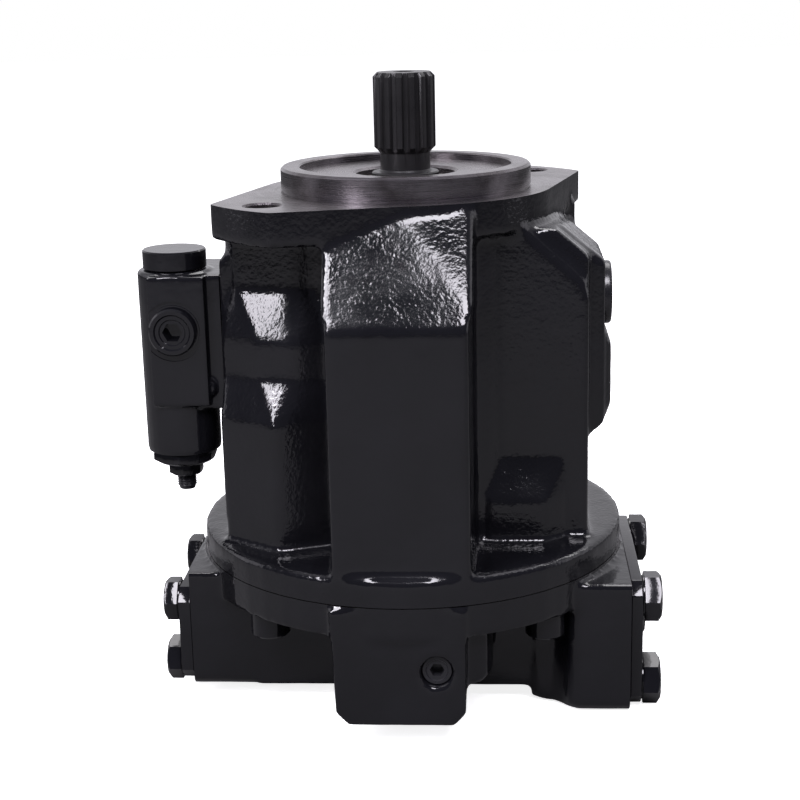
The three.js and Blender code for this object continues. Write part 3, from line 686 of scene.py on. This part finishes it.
HEAD = 10
for number in range(1, 5):
    node = f"end_cap_screw_{number}"
    low, high = box_of(node)
    seat = low.z + HEAD
    screw = add_piece(f"end_cap_socket_screw_{number}", turned([
        (0, low.z), (7.2, low.z), (7.9, low.z + 0.8), (7.9, seat - 0.4), (7.5, seat), (4.7, seat),
        (4.7, high.z - 0.8), (3.9, high.z), (0, high.z),
    ], 64), screw_paint)
    combine(screw, hexagon_prism(8, low.z - 1, low.z + 5))
    moved(screw.data, ((low.x + high.x) / 2, (low.y + high.y) / 2, 0))
    fit(screw, "root", "painted_fastener", node)

# ---- Gauge plug and drain plug -----------------------------------------------------
# Threaded steel plugs with hexagon sockets: a small one sunk in the front block, and
# a flanged one over the drain port on the right side.


def black_steel(name, dull):
    """Blackened steel with a light oil film and a scuffed sheen."""
    made, parts, links = material(name)
    shader = parts["Principled BSDF"]
    skin = shader_part(parts, "ShaderNodeGroup", {
        "Peel size": 1400.0, "Wave depth": 0.3,
    }, node_tree=cast_skin)
    bump = shader_part(parts, "ShaderNodeBump", {"Distance": 0.03 * MM})
    tone = shader_part(parts, "ShaderNodeMix", {
        "A": (0.005, 0.005, 0.006, 1), "B": (0.017, 0.017, 0.02, 1),
    }, data_type="RGBA")
    sheen = shader_part(parts, "ShaderNodeMapRange", {"To Min": dull - 0.08, "To Max": dull + 0.12})
    links.new(skin.outputs["Height"], bump.inputs["Height"])
    links.new(skin.outputs["Blotch"], tone.inputs["Factor"])
    links.new(skin.outputs["Blotch"], sheen.inputs["Value"])
    dress(shader, links, tone, sheen, bump)
    return made


oiled_black = black_steel("oiled_black_steel", 0.24)
low, high = box_of("gauge_port_plug")
front = -low.y
gauge = add_piece("gauge_plug", turned([
    (0, front - 9.5), (5.4, front - 9.5), (6, front - 9), (6, front - 0.6), (5.6, front),
    (4.4, front), (4.1, front - 0.5), (0, front - 0.5),
], 64), oiled_black)
combine(gauge, hexagon_prism(5, front - 5, front + 1))
moved(gauge.data, ((low.x + high.x) / 2, 0, (low.z + high.z) / 2), (90, 0, 0))
fit(gauge, "root", "black_steel", "gauge_port_plug")

low, high = box_of("drain_port_plug")
drain = add_piece("drain_plug", turned([
    (0, low.x), (7.8, low.x), (8.6, low.x + 0.8), (8.6, high.x - 3.2), (13, high.x - 3.2),
    (13, high.x - 1), (12.7, high.x - 0.4), (12.1, high.x), (8.6, high.x), (8.2, high.x - 0.5),
    (0, high.x - 0.5),
], 96), oiled_black)
combine(drain, hexagon_prism(10, high.x - 8, high.x + 1))
moved(drain.data, (0, (low.y + high.y) / 2, (low.z + high.z) / 2), (0, 90, 0))
fit(drain, "root", "black_steel", "drain_port_plug")

# ---- Drive shaft -------------------------------------------------------------------
# Case-hardened steel, phosphated dark grey: a fifteen-tooth spline with chamfered
# tooth ends, a narrow neck, a ground collar for the seal and a spline for the block.


def phosphate():
    """Dark grey phosphated steel, matt and slightly mottled."""
    made, parts, links = material("phosphated_steel")
    shader = parts["Principled BSDF"]
    lathe = shader_part(parts, "ShaderNodeGroup", {"Marks per metre": 1800.0}, node_tree=turning_marks)
    tone = shader_part(parts, "ShaderNodeMix", {
        "A": (0.006, 0.006, 0.0065, 1), "B": (0.022, 0.021, 0.022, 1),
    }, data_type="RGBA")
    sheen = shader_part(parts, "ShaderNodeMapRange", {"To Min": 0.22, "To Max": 0.42})
    bump = shader_part(parts, "ShaderNodeBump", {"Distance": 0.02 * MM})
    links.new(lathe.outputs["Stain"], tone.inputs["Factor"])
    links.new(lathe.outputs["Marks"], sheen.inputs["Value"])
    links.new(lathe.outputs["Marks"], bump.inputs["Height"])
    dress(shader, links, tone, sheen, bump)
    shader.inputs["Metallic"].default_value = 0.4
    return made


def splined(teeth, root, tip, levels, per_tooth=16):
    """A stack of rings given as (height, limit): each follows the spline's outline, but
    never stands outside its own limit."""
    outline = []
    for step in range(teeth * per_tooth):
        part = (step % per_tooth) / per_tooth - 0.5
        rise = min(1, max(0, (0.33 - abs(part)) / 0.13))
        radius = root + (tip - root) * rise * rise * (3 - 2 * rise)
        outline.append((radius, 2 * math.pi * (step / per_tooth - 0.5) / teeth))
    return lofted("splined", [
        [around(min(radius, limit), angle, height) for radius, angle in outline]
        for height, limit in levels
    ])


low, high = box_of("drive_shaft")
TOP = high.z
NECK_R = 10.2
COLLAR_R = 13.7
TEETH, TOOTH_ROOT_R, TOOTH_TIP_R = 15, 10.9, 12.49
spline_foot = FACE + 14
shaft = add_piece("splined_drive_shaft", splined(TEETH, TOOTH_ROOT_R, TOOTH_TIP_R, [
    (spline_foot, NECK_R), (spline_foot + 1.2, 11.2), (spline_foot + 2.4, 12.6),
    (TOP - 1.7, 12.6), (TOP - 0.25, 11.1), (TOP, 10.8),
]), phosphate())
combine(shaft, turned([
    (0, low.z), (8.8, low.z), (9.6, low.z + 0.8), (9.6, 61), (10.8, 61.6), (10.8, 118),
    (13.2, 118.4), (13.2, 150), (17.5, 166), (17.5, 190.6), (17.1, 191),
    (COLLAR_R, 192), (COLLAR_R, FACE + 6), (COLLAR_R - 0.5, FACE + 6.5),
    (NECK_R + 0.6, FACE + 6.6), (NECK_R, FACE + 7.4), (NECK_R, spline_foot + 0.5),
    (0, spline_foot + 0.5),
]), "UNION")
block_spline = splined(12, 10.9, 13.1, [(64, 10.9), (65.5, 13.2), (119, 13.2), (119.5, 12)])
combine(shaft, block_spline, "UNION")
combine(shaft, turned([
    (0, TOP - 9), (2.1, TOP - 8), (2.1, TOP - 2.4), (4.4, TOP + 0.1), (0, TOP + 0.1),
], 48))
fit(shaft, "rotor", "dark_shaft_steel", "drive_shaft")

# ---- Shaft bearings ----------------------------------------------------------------
# A tapered roller bearing under the mounting face: its cup is pressed in the housing,
# and its cone, rollers and cage turn with the shaft. A needle bearing sits in the cap.

ground_steel = bare_metal(
    "ground_steel", (0.60, 0.59, 0.58), (0.46, 0.45, 0.44), 0.12, 0.26, 0.004, 3600.0
)
cup = add_piece("front_bearing_outer_race", turned([
    (28.6, 172), (35.4, 172), (36, 172.6), (36, 189.6), (35.4, 190.2), (30.9, 190.2), (30.5, 189.8),
]), ground_steel)
fit(cup, "root", "ground_steel", "front_bearing_cup")

race = turned([
    (17.9, 171.4), (18.3, 171), (23.1, 171), (23.5, 171.5), (23.5, 173.4), (22.2, 173.8),
    (23.6, 187.8), (24.9, 188.2), (24.9, 189.4), (24.5, 190), (18.3, 190), (17.9, 189.6),
])
cage = turned([(24.4, 172.4), (25.6, 172.2), (27.6, 189), (26.4, 189.2)])
ROLLERS = 19
ROLLER_CIRCLE_R, ROLLER_LEAN, ROLLER_HEIGHT = 25.7, 6, 180.8
rollers = []
for number in range(ROLLERS):
    roller = turned([(0, -6.6), (2.2, -6.6), (2.5, -6.2), (2.8, 6.2), (2.5, 6.6), (0, 6.6)], 20)
    moved(roller, (ROLLER_CIRCLE_R, 0, ROLLER_HEIGHT), (0, ROLLER_LEAN, 0))
    rollers.append(moved(roller, (0, 0, 0), (0, 0, 360 * number / ROLLERS)))
cone = add_piece("front_bearing_inner_race_and_rollers", joined(race, cage, *rollers), ground_steel)
fit(cone, "rotor", "ground_steel", "front_bearing_cone")

low, high = box_of("rear_needle_bearing")
shell = turned([
    (12.6, low.z + 1), (11, low.z + 1), (11, low.z), (13.6, low.z), (14, low.z + 0.4),
    (14, high.z - 0.4), (13.6, high.z), (11, high.z), (11, high.z - 1), (12.6, high.z - 1),
])
NEEDLES = 24
NEEDLE_R, NEEDLE_CIRCLE_R = 1.2, 11.2
needles = []
for number in range(NEEDLES):
    needle = moved(rod(NEEDLE_R, low.z + 1.3, high.z - 1.3, 12), (NEEDLE_CIRCLE_R, 0, 0))
    needles.append(moved(needle, (0, 0, 0), (0, 0, 360 * number / NEEDLES)))
rear = add_piece("rear_needle_bearing_set", joined(shell, *needles), ground_steel)
fit(rear, "root", "ground_steel", "rear_needle_bearing")

# ---- Shaft seal --------------------------------------------------------------------
# A dark rubber lip seal moulded on a steel case and pressed into the pilot's bore,
# with its lip running on the shaft's ground collar.


def rubber():
    """Dark nitrile rubber, matt and faintly mottled."""
    made, parts, links = material("seal_rubber")
    shader = parts["Principled BSDF"]
    skin = shader_part(parts, "ShaderNodeGroup", {"Peel size": 2200.0}, node_tree=cast_skin)
    bump = shader_part(parts, "ShaderNodeBump", {"Distance": 0.02 * MM})
    tone = shader_part(parts, "ShaderNodeMix", {
        "A": (0.012, 0.009, 0.008, 1), "B": (0.03, 0.023, 0.02, 1),
    }, data_type="RGBA")
    links.new(skin.outputs["Height"], bump.inputs["Height"])
    links.new(skin.outputs["Blotch"], tone.inputs["Factor"])
    links.new(tone.outputs["Result"], shader.inputs["Base Color"])
    links.new(bump.outputs["Normal"], shader.inputs["Normal"])
    shader.inputs["Roughness"].default_value = 0.55
    return made


seal = add_piece("shaft_lip_seal", turned([
    (14, 206.9), (14.2, 206.2), (15.6, 204.8), (19.4, 204.4), (20, 205), (20, 210),
    (19.6, 210.5), (17.2, 210.5), (16.4, 209.6), (15.4, 210.2), (14.3, 208.4),
]), rubber())
fit(seal, "root", "seal_rubber", "shaft_seal")

# ---- Rotating group ----------------------------------------------------------------
# A steel cylinder block with nine bores turns on a bronze valve plate. A spring inside
# it presses the retaining ball, and through it the slippers, against the swashplate.


def prism(outline, low, high):
    """A closed outline of (x, y) points raised from one height to another."""
    return lofted("prism", [[(x, y, height) for x, y in outline] for height in (low, high)])


def kidney(inner, outer, middle_angle, half_angle, low, high, steps=24):
    """A curved slot's core, standing between two heights."""
    start = middle_angle - half_angle
    sweep = [start + 2 * half_angle * step / steps for step in range(steps + 1)]
    outline = [around(outer, angle, 0)[:2] for angle in sweep]
    outline += [around(inner, angle, 0)[:2] for angle in reversed(sweep)]
    return prism(outline, low, high)


PISTONS = 9
BORE_CIRCLE_R, BORE_R = 33, 9.4
POCKET_R = 19.6
low, high = box_of("cylinder_block")
cylinders = add_piece("piston_cylinder_block", turned([
    (0, low.z), (42.8, low.z), (44, low.z + 1.2), (44, high.z - 1.2), (42.8, high.z), (0, high.z),
]), ground_steel)
combine(cylinders, splined(12, 11.75, 13.6, [(low.z - 1, 14), (90, 14)]))
combine(cylinders, turned([
    (0, 86), (POCKET_R, 86), (POCKET_R, high.z - 0.8), (POCKET_R + 1, high.z + 0.1),
    (0, high.z + 0.1),
]))
for number in range(PISTONS):
    angle = 2 * math.pi * number / PISTONS + math.pi / 2
    bore = turned([
        (0, 70), (BORE_R, 70), (BORE_R, high.z - 0.6), (BORE_R + 0.7, high.z + 0.1),
        (0, high.z + 0.1),
    ], 48)
    combine(cylinders, moved(bore, around(BORE_CIRCLE_R, angle, 0)))
    combine(cylinders, kidney(28.5, 34.5, angle, 0.16, low.z - 1, 71, 8))
fit(cylinders, "rotor", "ground_steel", "cylinder_block")

bronze = bare_metal(
    "bearing_bronze", (0.62, 0.41, 0.17), (0.45, 0.28, 0.11), 0.2, 0.36, 0.006, 2600.0
)
low, high = box_of("valve_plate")
plate = add_piece("bronze_valve_plate", turned([
    (15.2, low.z), (45.6, low.z), (46, low.z + 0.4), (46, high.z - 0.4), (45.6, high.z),
    (15.2, high.z), (14.8, high.z - 0.4), (14.8, low.z + 0.4),
]), bronze)
SLOT_INNER_R, SLOT_OUTER_R = 27.5, 35.5
combine(plate, kidney(SLOT_INNER_R, SLOT_OUTER_R, 0, 1.08, 50, 70))
for part in (-0.72, 0, 0.72):
    slot = kidney(SLOT_INNER_R, SLOT_OUTER_R, math.pi + part, 0.29, 50, 70, 10)
    combine(plate, slot)
fit(plate, "root", "bearing_bronze", "valve_plate")

TILT_Z, TILT = 132, 15
GUIDE_R, GUIDE_BORE_R, GUIDE_LOW, GUIDE_HIGH = 22, 13.6, -9, 8
arc = [GUIDE_LOW + (GUIDE_HIGH - GUIDE_LOW) * step / 24 for step in range(25)]
ball = add_piece("retaining_ball_guide", moved(turned(
    [(GUIDE_BORE_R, GUIDE_LOW)] + [(math.sqrt(GUIDE_R ** 2 - z * z), z) for z in arc]
    + [(GUIDE_BORE_R, GUIDE_HIGH)]
), (0, 0, TILT_Z)), ground_steel)
fit(ball, "rotor", "ground_steel", "retaining_ball")


def coil(radius, wire, low, high, turns, steps=28):
    """A compression spring with closed, flattened end turns."""
    count = int(turns * steps)
    rings = []
    for step in range(count + 1):
        share = step / count
        angle = 2 * math.pi * turns * share
        free = min(1, max(0, (share * turns - 0.75) / (turns - 1.5)))
        height = low + wire + (high - low - 2 * wire) * free
        section = [around(wire, 2 * math.pi * side / 12, 0) for side in range(12)]
        rings.append([around(radius + out, angle, height + up) for out, up, _ in section])
    return lofted("coil", rings)


spring_steel = bare_metal(
    "spring_steel", (0.36, 0.37, 0.40), (0.22, 0.23, 0.25), 0.22, 0.4, 0.006, 1200.0
)
low, high = box_of("block_spring")
pusher = add_piece("block_coil_spring", coil(16.6, 1.8, low.z, high.z, 5), spring_steel)
fit(pusher, "rotor", "spring_steel", "block_spring")

# ---- Swashplate and its cradle -------------------------------------------------------
# A round steel plate with a half-round back rolls in a bronze-lined cradle. An arm on
# each side carries a rounded nose that the control and bias pistons push on.


def tilted(mesh):
    """Turns a mesh drawn round the plate's centre into its working place."""
    return moved(mesh, (0, 0, TILT_Z), (TILT, 0, 0))


CRADLE_R, PLATE_R = 34, 42.6
FACE_RISE = 9             # sliding face over the tilt axis
ARM_END = 62
drum = turned([
    (0, -38), (CRADLE_R - 0.6, -38), (CRADLE_R, -37.4), (CRADLE_R, 37.4), (CRADLE_R - 0.6, 38),
    (0, 38),
], 144)
swash = add_piece("tilting_swashplate", moved(drum, (0, 0, 0), (0, 90, 0)), ground_steel)
combine(swash, block((-38.5, -60, FACE_RISE), (38.5, 60, 60)), "INTERSECT")
combine(swash, rod(43, 0, 60), "INTERSECT")
combine(swash, turned([
    (0, FACE_RISE), (PLATE_R - 0.5, FACE_RISE), (PLATE_R, FACE_RISE + 0.5), (PLATE_R, 11.9),
    (PLATE_R - 0.5, 12.4), (0, 12.4),
]), "UNION")
for side in (-1, 1):
    near, far = sorted((side * 30, side * ARM_END))
    combine(swash, block((-7, near, 12.5), (7, far, 21)), "UNION")
    nose = turned([(0, -7), (4.5, -7), (5, -6.5), (5, 6.5), (4.5, 7), (0, 7)], 48)
    combine(swash, moved(nose, (0, side * ARM_END, 16), (0, 90, 0)), "UNION")
combine(swash, turned([(0, 8), (21.9, 8.9), (21.3, 9.6), (21.3, 12), (28.5, 36), (0, 36)]))
tilted(swash.data)
fit(swash, "swashplate_body", "ground_steel", "swashplate")

sleeve = kidney(CRADLE_R + 0.3, CRADLE_R + 2.1, math.pi / 2, math.pi / 2 - 0.95, -36, 36, 40)
liner = add_piece("cradle_bearing_liner", moved(sleeve, (0, 0, 0), (90, 0, 90)), bronze)
combine(liner, block((-27, -18.5, 0), (27, 18.5, 60)))
moved(liner.data, (0, 0, TILT_Z))
fit(liner, "root", "bearing_bronze", "cradle_bearing")

# ---- Retainer, slippers and pistons ----------------------------------------------------
# Nine steel pistons, each with a ball that a bronze slipper is swaged over. The
# retainer plate's nine holes hold the slippers flat on the swashplate.

BALL_R, SOCKET_R, PISTON_R = 6, 6.3, 8.5
SHOE_HOLE_R = 8.5
centres = []
for number in range(1, PISTONS + 1):
    low, high = box_of(f"piston_{number}")
    centres.append(Vector(((low.x + high.x) / 2, (low.y + high.y) / 2, high.z - BALL_R)))

retainer = add_piece("slipper_retainer_plate", turned([
    (22.9, 1.4), (44.2, 1.4), (44.6, 1.8), (44.6, 4.8), (44.2, 5.2), (22.3, 5.2),
    (22.1, 4.8), (22.6, 1.8),
]), ground_steel)
for centre in centres:
    flat = Matrix.Rotation(math.radians(-TILT), 4, "X") @ (centre - Vector((0, 0, TILT_Z)))
    combine(retainer, moved(rod(SHOE_HOLE_R, 0, 8, 48), (flat.x, flat.y, 0)))
tilted(retainer.data)
fit(retainer, "retainer_body", "ground_steel", "retainer_plate")


def arc_down(radius, start, sweep, steps):
    """Points (radius, height) down a ball's side, from a start angle in degrees."""
    angles = [math.radians(start - sweep * step / steps) for step in range(steps + 1)]
    return [around(radius, angle, 0)[:2] for angle in angles]


for number, centre in enumerate(centres, 1):
    shoe = turned([(0, SOCKET_R)] + arc_down(SOCKET_R, 88, 118, 12)[1:] + [
        (6.6, -3.4), (7.4, -2.8), (7.6, -2.2), (7.6, 5.2), (8, 5.6), (9.3, 5.6), (9.6, 5.9),
        (9.6, 8.4), (9.3, 8.7), (8.2, 8.7), (8, 8.4), (6.4, 8.4), (6.2, 8.7), (0, 8.7),
    ], 48)
    moved(shoe, centre, (TILT, 0, 0))
    slipper = add_piece(f"bronze_slipper_{number}", shoe, bronze)
    fit(slipper, f"slipper_{number}_body", "bearing_bronze", f"slipper_{number}")

for number, centre in enumerate(centres, 1):
    grooves = []
    for height in (-20, -27, -34):
        grooves += [(PISTON_R, height), (PISTON_R - 0.4, height - 0.3)]
        grooves += [(PISTON_R - 0.4, height - 1), (PISTON_R, height - 1.3)]
    body = turned([(0, BALL_R)] + arc_down(BALL_R, 84, 130, 14) + [
        (4, -5), (4, -6.2), (4.6, -7.1), (7.6, -7.5), (PISTON_R, -8.8), *grooves,
        (PISTON_R, -49.4), (8, -50), (5.6, -50), (5.2, -49.4), (5.2, -18), (0, -15.5),
    ], 48)
    piston = add_piece(f"ball_end_piston_{number}", moved(body, centre), ground_steel)
    fit(piston, f"piston_{number}_body", "ground_steel", f"piston_{number}")

# ---- Control and bias pistons ------------------------------------------------------
# Two ground steel pistons run in long bores beside the cylinder block: the control
# piston pushes one arm of the swashplate back, the bias piston and spring the other.

low, high = box_of("control_piston")
STROKE_R = (high.x - low.x) / 2
top, foot = high.z, low.z
control = add_piece("stroke_control_piston", moved(turned([
    (0, foot), (STROKE_R - 0.6, foot), (STROKE_R, foot + 0.6), (STROKE_R, top - 12),
    (STROKE_R, top - 1), (STROKE_R - 1, top), (0, top),
]), (0, -PISTON_LINE, 0)), ground_steel)
fit(control, "control_piston_body", "ground_steel", "control_piston")

low, high = box_of("bias_piston")
top, foot = high.z, low.z
bias = add_piece("bias_spring_piston", moved(turned([
    (0, top - 5), (8.4, top - 5), (8.4, foot + 0.5), (8.8, foot), (STROKE_R - 0.4, foot),
    (STROKE_R, foot + 0.4), (STROKE_R, top - 1), (STROKE_R - 1, top), (0, top),
]), (0, PISTON_LINE, 0)), ground_steel)
fit(bias, "bias_piston_body", "ground_steel", "bias_piston")

low, high = box_of("bias_spring")
bias_coil = add_piece("bias_coil_spring", moved(
    coil(6.9, 1.1, low.z, high.z, 11), (0, PISTON_LINE, 0)
), spring_steel)
bias_coil.data.shade_smooth()
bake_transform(bias_coil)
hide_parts("bias_spring")

# ---- Pressure compensator ------------------------------------------------------------
# A small upright valve body screwed to the housing's left side. A plug closes its top,
# a socket plug its front, and a capped adjusting screw under it sets the spring.

low, high = box_of("compensator_body")
VALVE_X, VALVE_Y = -93, -20
SPRING_CHAMBER_R, SPRING_CHAMBER_TOP = 9.4, 142.5
SPOOL_BORE_R, SPOOL_BORE_TOP = 4, 170
CAP_SEAT = 102.7
ADJUSTER_HOLE_R = 4.3
BOSS_PLACE = (-80.5, -32, 131)
plug_low, plug_high = box_of("compensator_side_plug")
plug_place = ((plug_low.x + plug_high.x) / 2, low.y, (plug_low.z + plug_high.z) / 2)
FORWARDS = (90, 0, 0)
blank = welded("compensator_body")
for vertex in blank.vertices:
    place = vertex.co / MM
    if place.z < low.z + 0.5:
        vertex.co.z -= SPARE * MM
    if place.x > high.x - 0.1:
        vertex.co.x += SPARE * MM
core = moved(rod(11, low.z - SPARE, high.z - 1, 32), (VALVE_X, VALVE_Y, 0))
front = moved(rod(9, -9, 0, 32), plug_place, FORWARDS)
boss = turned([(0, -14), (4.2, -14), (4.2, 1.6), (3, 2.2), (0, 2.2)], 48)
moved(boss, BOSS_PLACE, FORWARDS)
valve = add_piece("compensator_casting", joined(blank, core, front, boss), plate_paint)
cast(valve, 0.7, 5, 0.06)
combine(valve, block((-130, -60, low.z - 20), (-60, 30, low.z)))
combine(valve, block((high.x, -60, 60), (high.x + 20, 30, 200)))
combine(valve, moved(turned([
    (0, low.z - 1), (SPRING_CHAMBER_R, low.z - 1), (SPRING_CHAMBER_R, SPRING_CHAMBER_TOP),
    (SPOOL_BORE_R, SPRING_CHAMBER_TOP), (SPOOL_BORE_R, SPOOL_BORE_TOP), (8, SPOOL_BORE_TOP),
    (8, high.z + 3), (0, high.z + 3),
]), (VALVE_X, VALVE_Y, 0)))
spot_face = turned([(10.6, -0.5), (12.2, -0.5), (12.2, 0.6), (10.6, 0.6)])
for tool in (rod(7.4, -7, 0.1, 64), spot_face):
    combine(valve, moved(tool, plug_place, FORWARDS))
fit(valve, "root", "gloss_black_paint", "compensator_body")

low, high = box_of("compensator_top_plug")
cap = add_piece("compensator_end_plug", moved(turned([
    (0, low.z), (7.1, low.z), (7.6, low.z + 0.5), (7.6, 178.3), (12.4, 178.3), (12.8, 178.7),
    (12.8, high.z - 0.5), (12.3, high.z), (0, high.z),
]), (VALVE_X, VALVE_Y, 0)), plate_paint)
fit(cap, "root", "black_steel", "compensator_top_plug")

plug = add_piece("compensator_socket_plug", turned([
    (0, -6), (6.6, -6), (7, -5.6), (7, 0.3), (9.3, 0.3), (9.6, 0.6), (9.6, 1.9), (8.9, 2.8),
    (7.4, 2.8), (6.8, 2.2), (5.4, 2.2), (5, 1.8), (0, 1.8),
], 96), plate_paint)
combine(plug, hexagon_prism(7, -3, 4))
moved(plug.data, plug_place, FORWARDS)
fit(plug, "root", "black_steel", "compensator_side_plug")

low, high = box_of("compensator_spring_cap")
hexagon = hexagon_head(24, CAP_SEAT - low.z, 9, high.z - CAP_SEAT)
spring_cap = add_piece("compensator_spring_cap_nut", hexagon, screw_paint)
moved(spring_cap.data, (0, 0, CAP_SEAT), (180, 0, 0))
combine(spring_cap, rod(ADJUSTER_HOLE_R, 80, 120, 48))
moved(spring_cap.data, (VALVE_X, VALVE_Y, 0))
fit(spring_cap, "root", "black_steel", "compensator_spring_cap")

low, high = box_of("adjuster_lock_nut")
hexagon = hexagon_head(13, high.z - low.z, 6, 0.2)
nut = add_piece("adjuster_hexagon_lock_nut", hexagon, screw_paint)
moved(nut.data, (0, 0, high.z), (180, 0, 0))
combine(nut, block((-9, -9, high.z), (9, 9, high.z + 3)))
combine(nut, rod(ADJUSTER_HOLE_R, 80, 120, 48))
moved(nut.data, (VALVE_X, VALVE_Y, 0))
fit(nut, "root", "black_steel", "adjuster_lock_nut")

low, high = box_of("adjusting_screw")
thread = []
for turn in range(round(high.z - low.z - 3)):
    thread += [(3.55, low.z + 1.2 + turn), (4, low.z + 1.7 + turn)]
screw = add_piece("pressure_adjusting_screw", turned(
    [(0, low.z), (3.2, low.z)] + thread + [(3.6, high.z), (0, high.z)], 48
), oiled_black)
combine(screw, hexagon_prism(4, low.z - 1, low.z + 3.5))
moved(screw.data, (VALVE_X, VALVE_Y, 0))
fit(screw, "screw_body", "black_steel", "adjusting_screw")

low, high = box_of("spring_seat")
seat = add_piece("compensator_spring_seat", moved(turned([
    (0, low.z), (7, low.z), (7.5, low.z + 0.5), (7.5, high.z - 0.5), (7, high.z), (0, high.z),
]), (VALVE_X, VALVE_Y, 0)), ground_steel)
fit(seat, "root", "ground_steel", "spring_seat")

low, high = box_of("compensator_spool")
spool = add_piece("compensator_valve_spool", moved(turned([
    (0, low.z), (6.9, low.z), (7.2, low.z + 0.3), (7.2, low.z + 1.9), (6.9, low.z + 2.2),
    (3.7, low.z + 2.2),
    (3.7, 144), (3.4, 144.3), (3.4, 144.9), (3.7, 145.2), (3.7, 150.7), (3.4, 151), (2.6, 151),
    (2.6, 157), (3.4, 157), (3.7, 157.3), (3.7, high.z - 0.4), (3.3, high.z), (0, high.z),
], 64), (VALVE_X, VALVE_Y, 0)), ground_steel)
fit(spool, "spool_body", "ground_steel", "compensator_spool")

low, high = box_of("compensator_spring")
valve_coil = add_piece("compensator_coil_spring", moved(
    coil(6, 1.1, low.z, high.z, 5), (VALVE_X, VALVE_Y, 0)
), spring_steel)
valve_coil.data.shade_smooth()
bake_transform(valve_coil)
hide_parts("compensator_spring")
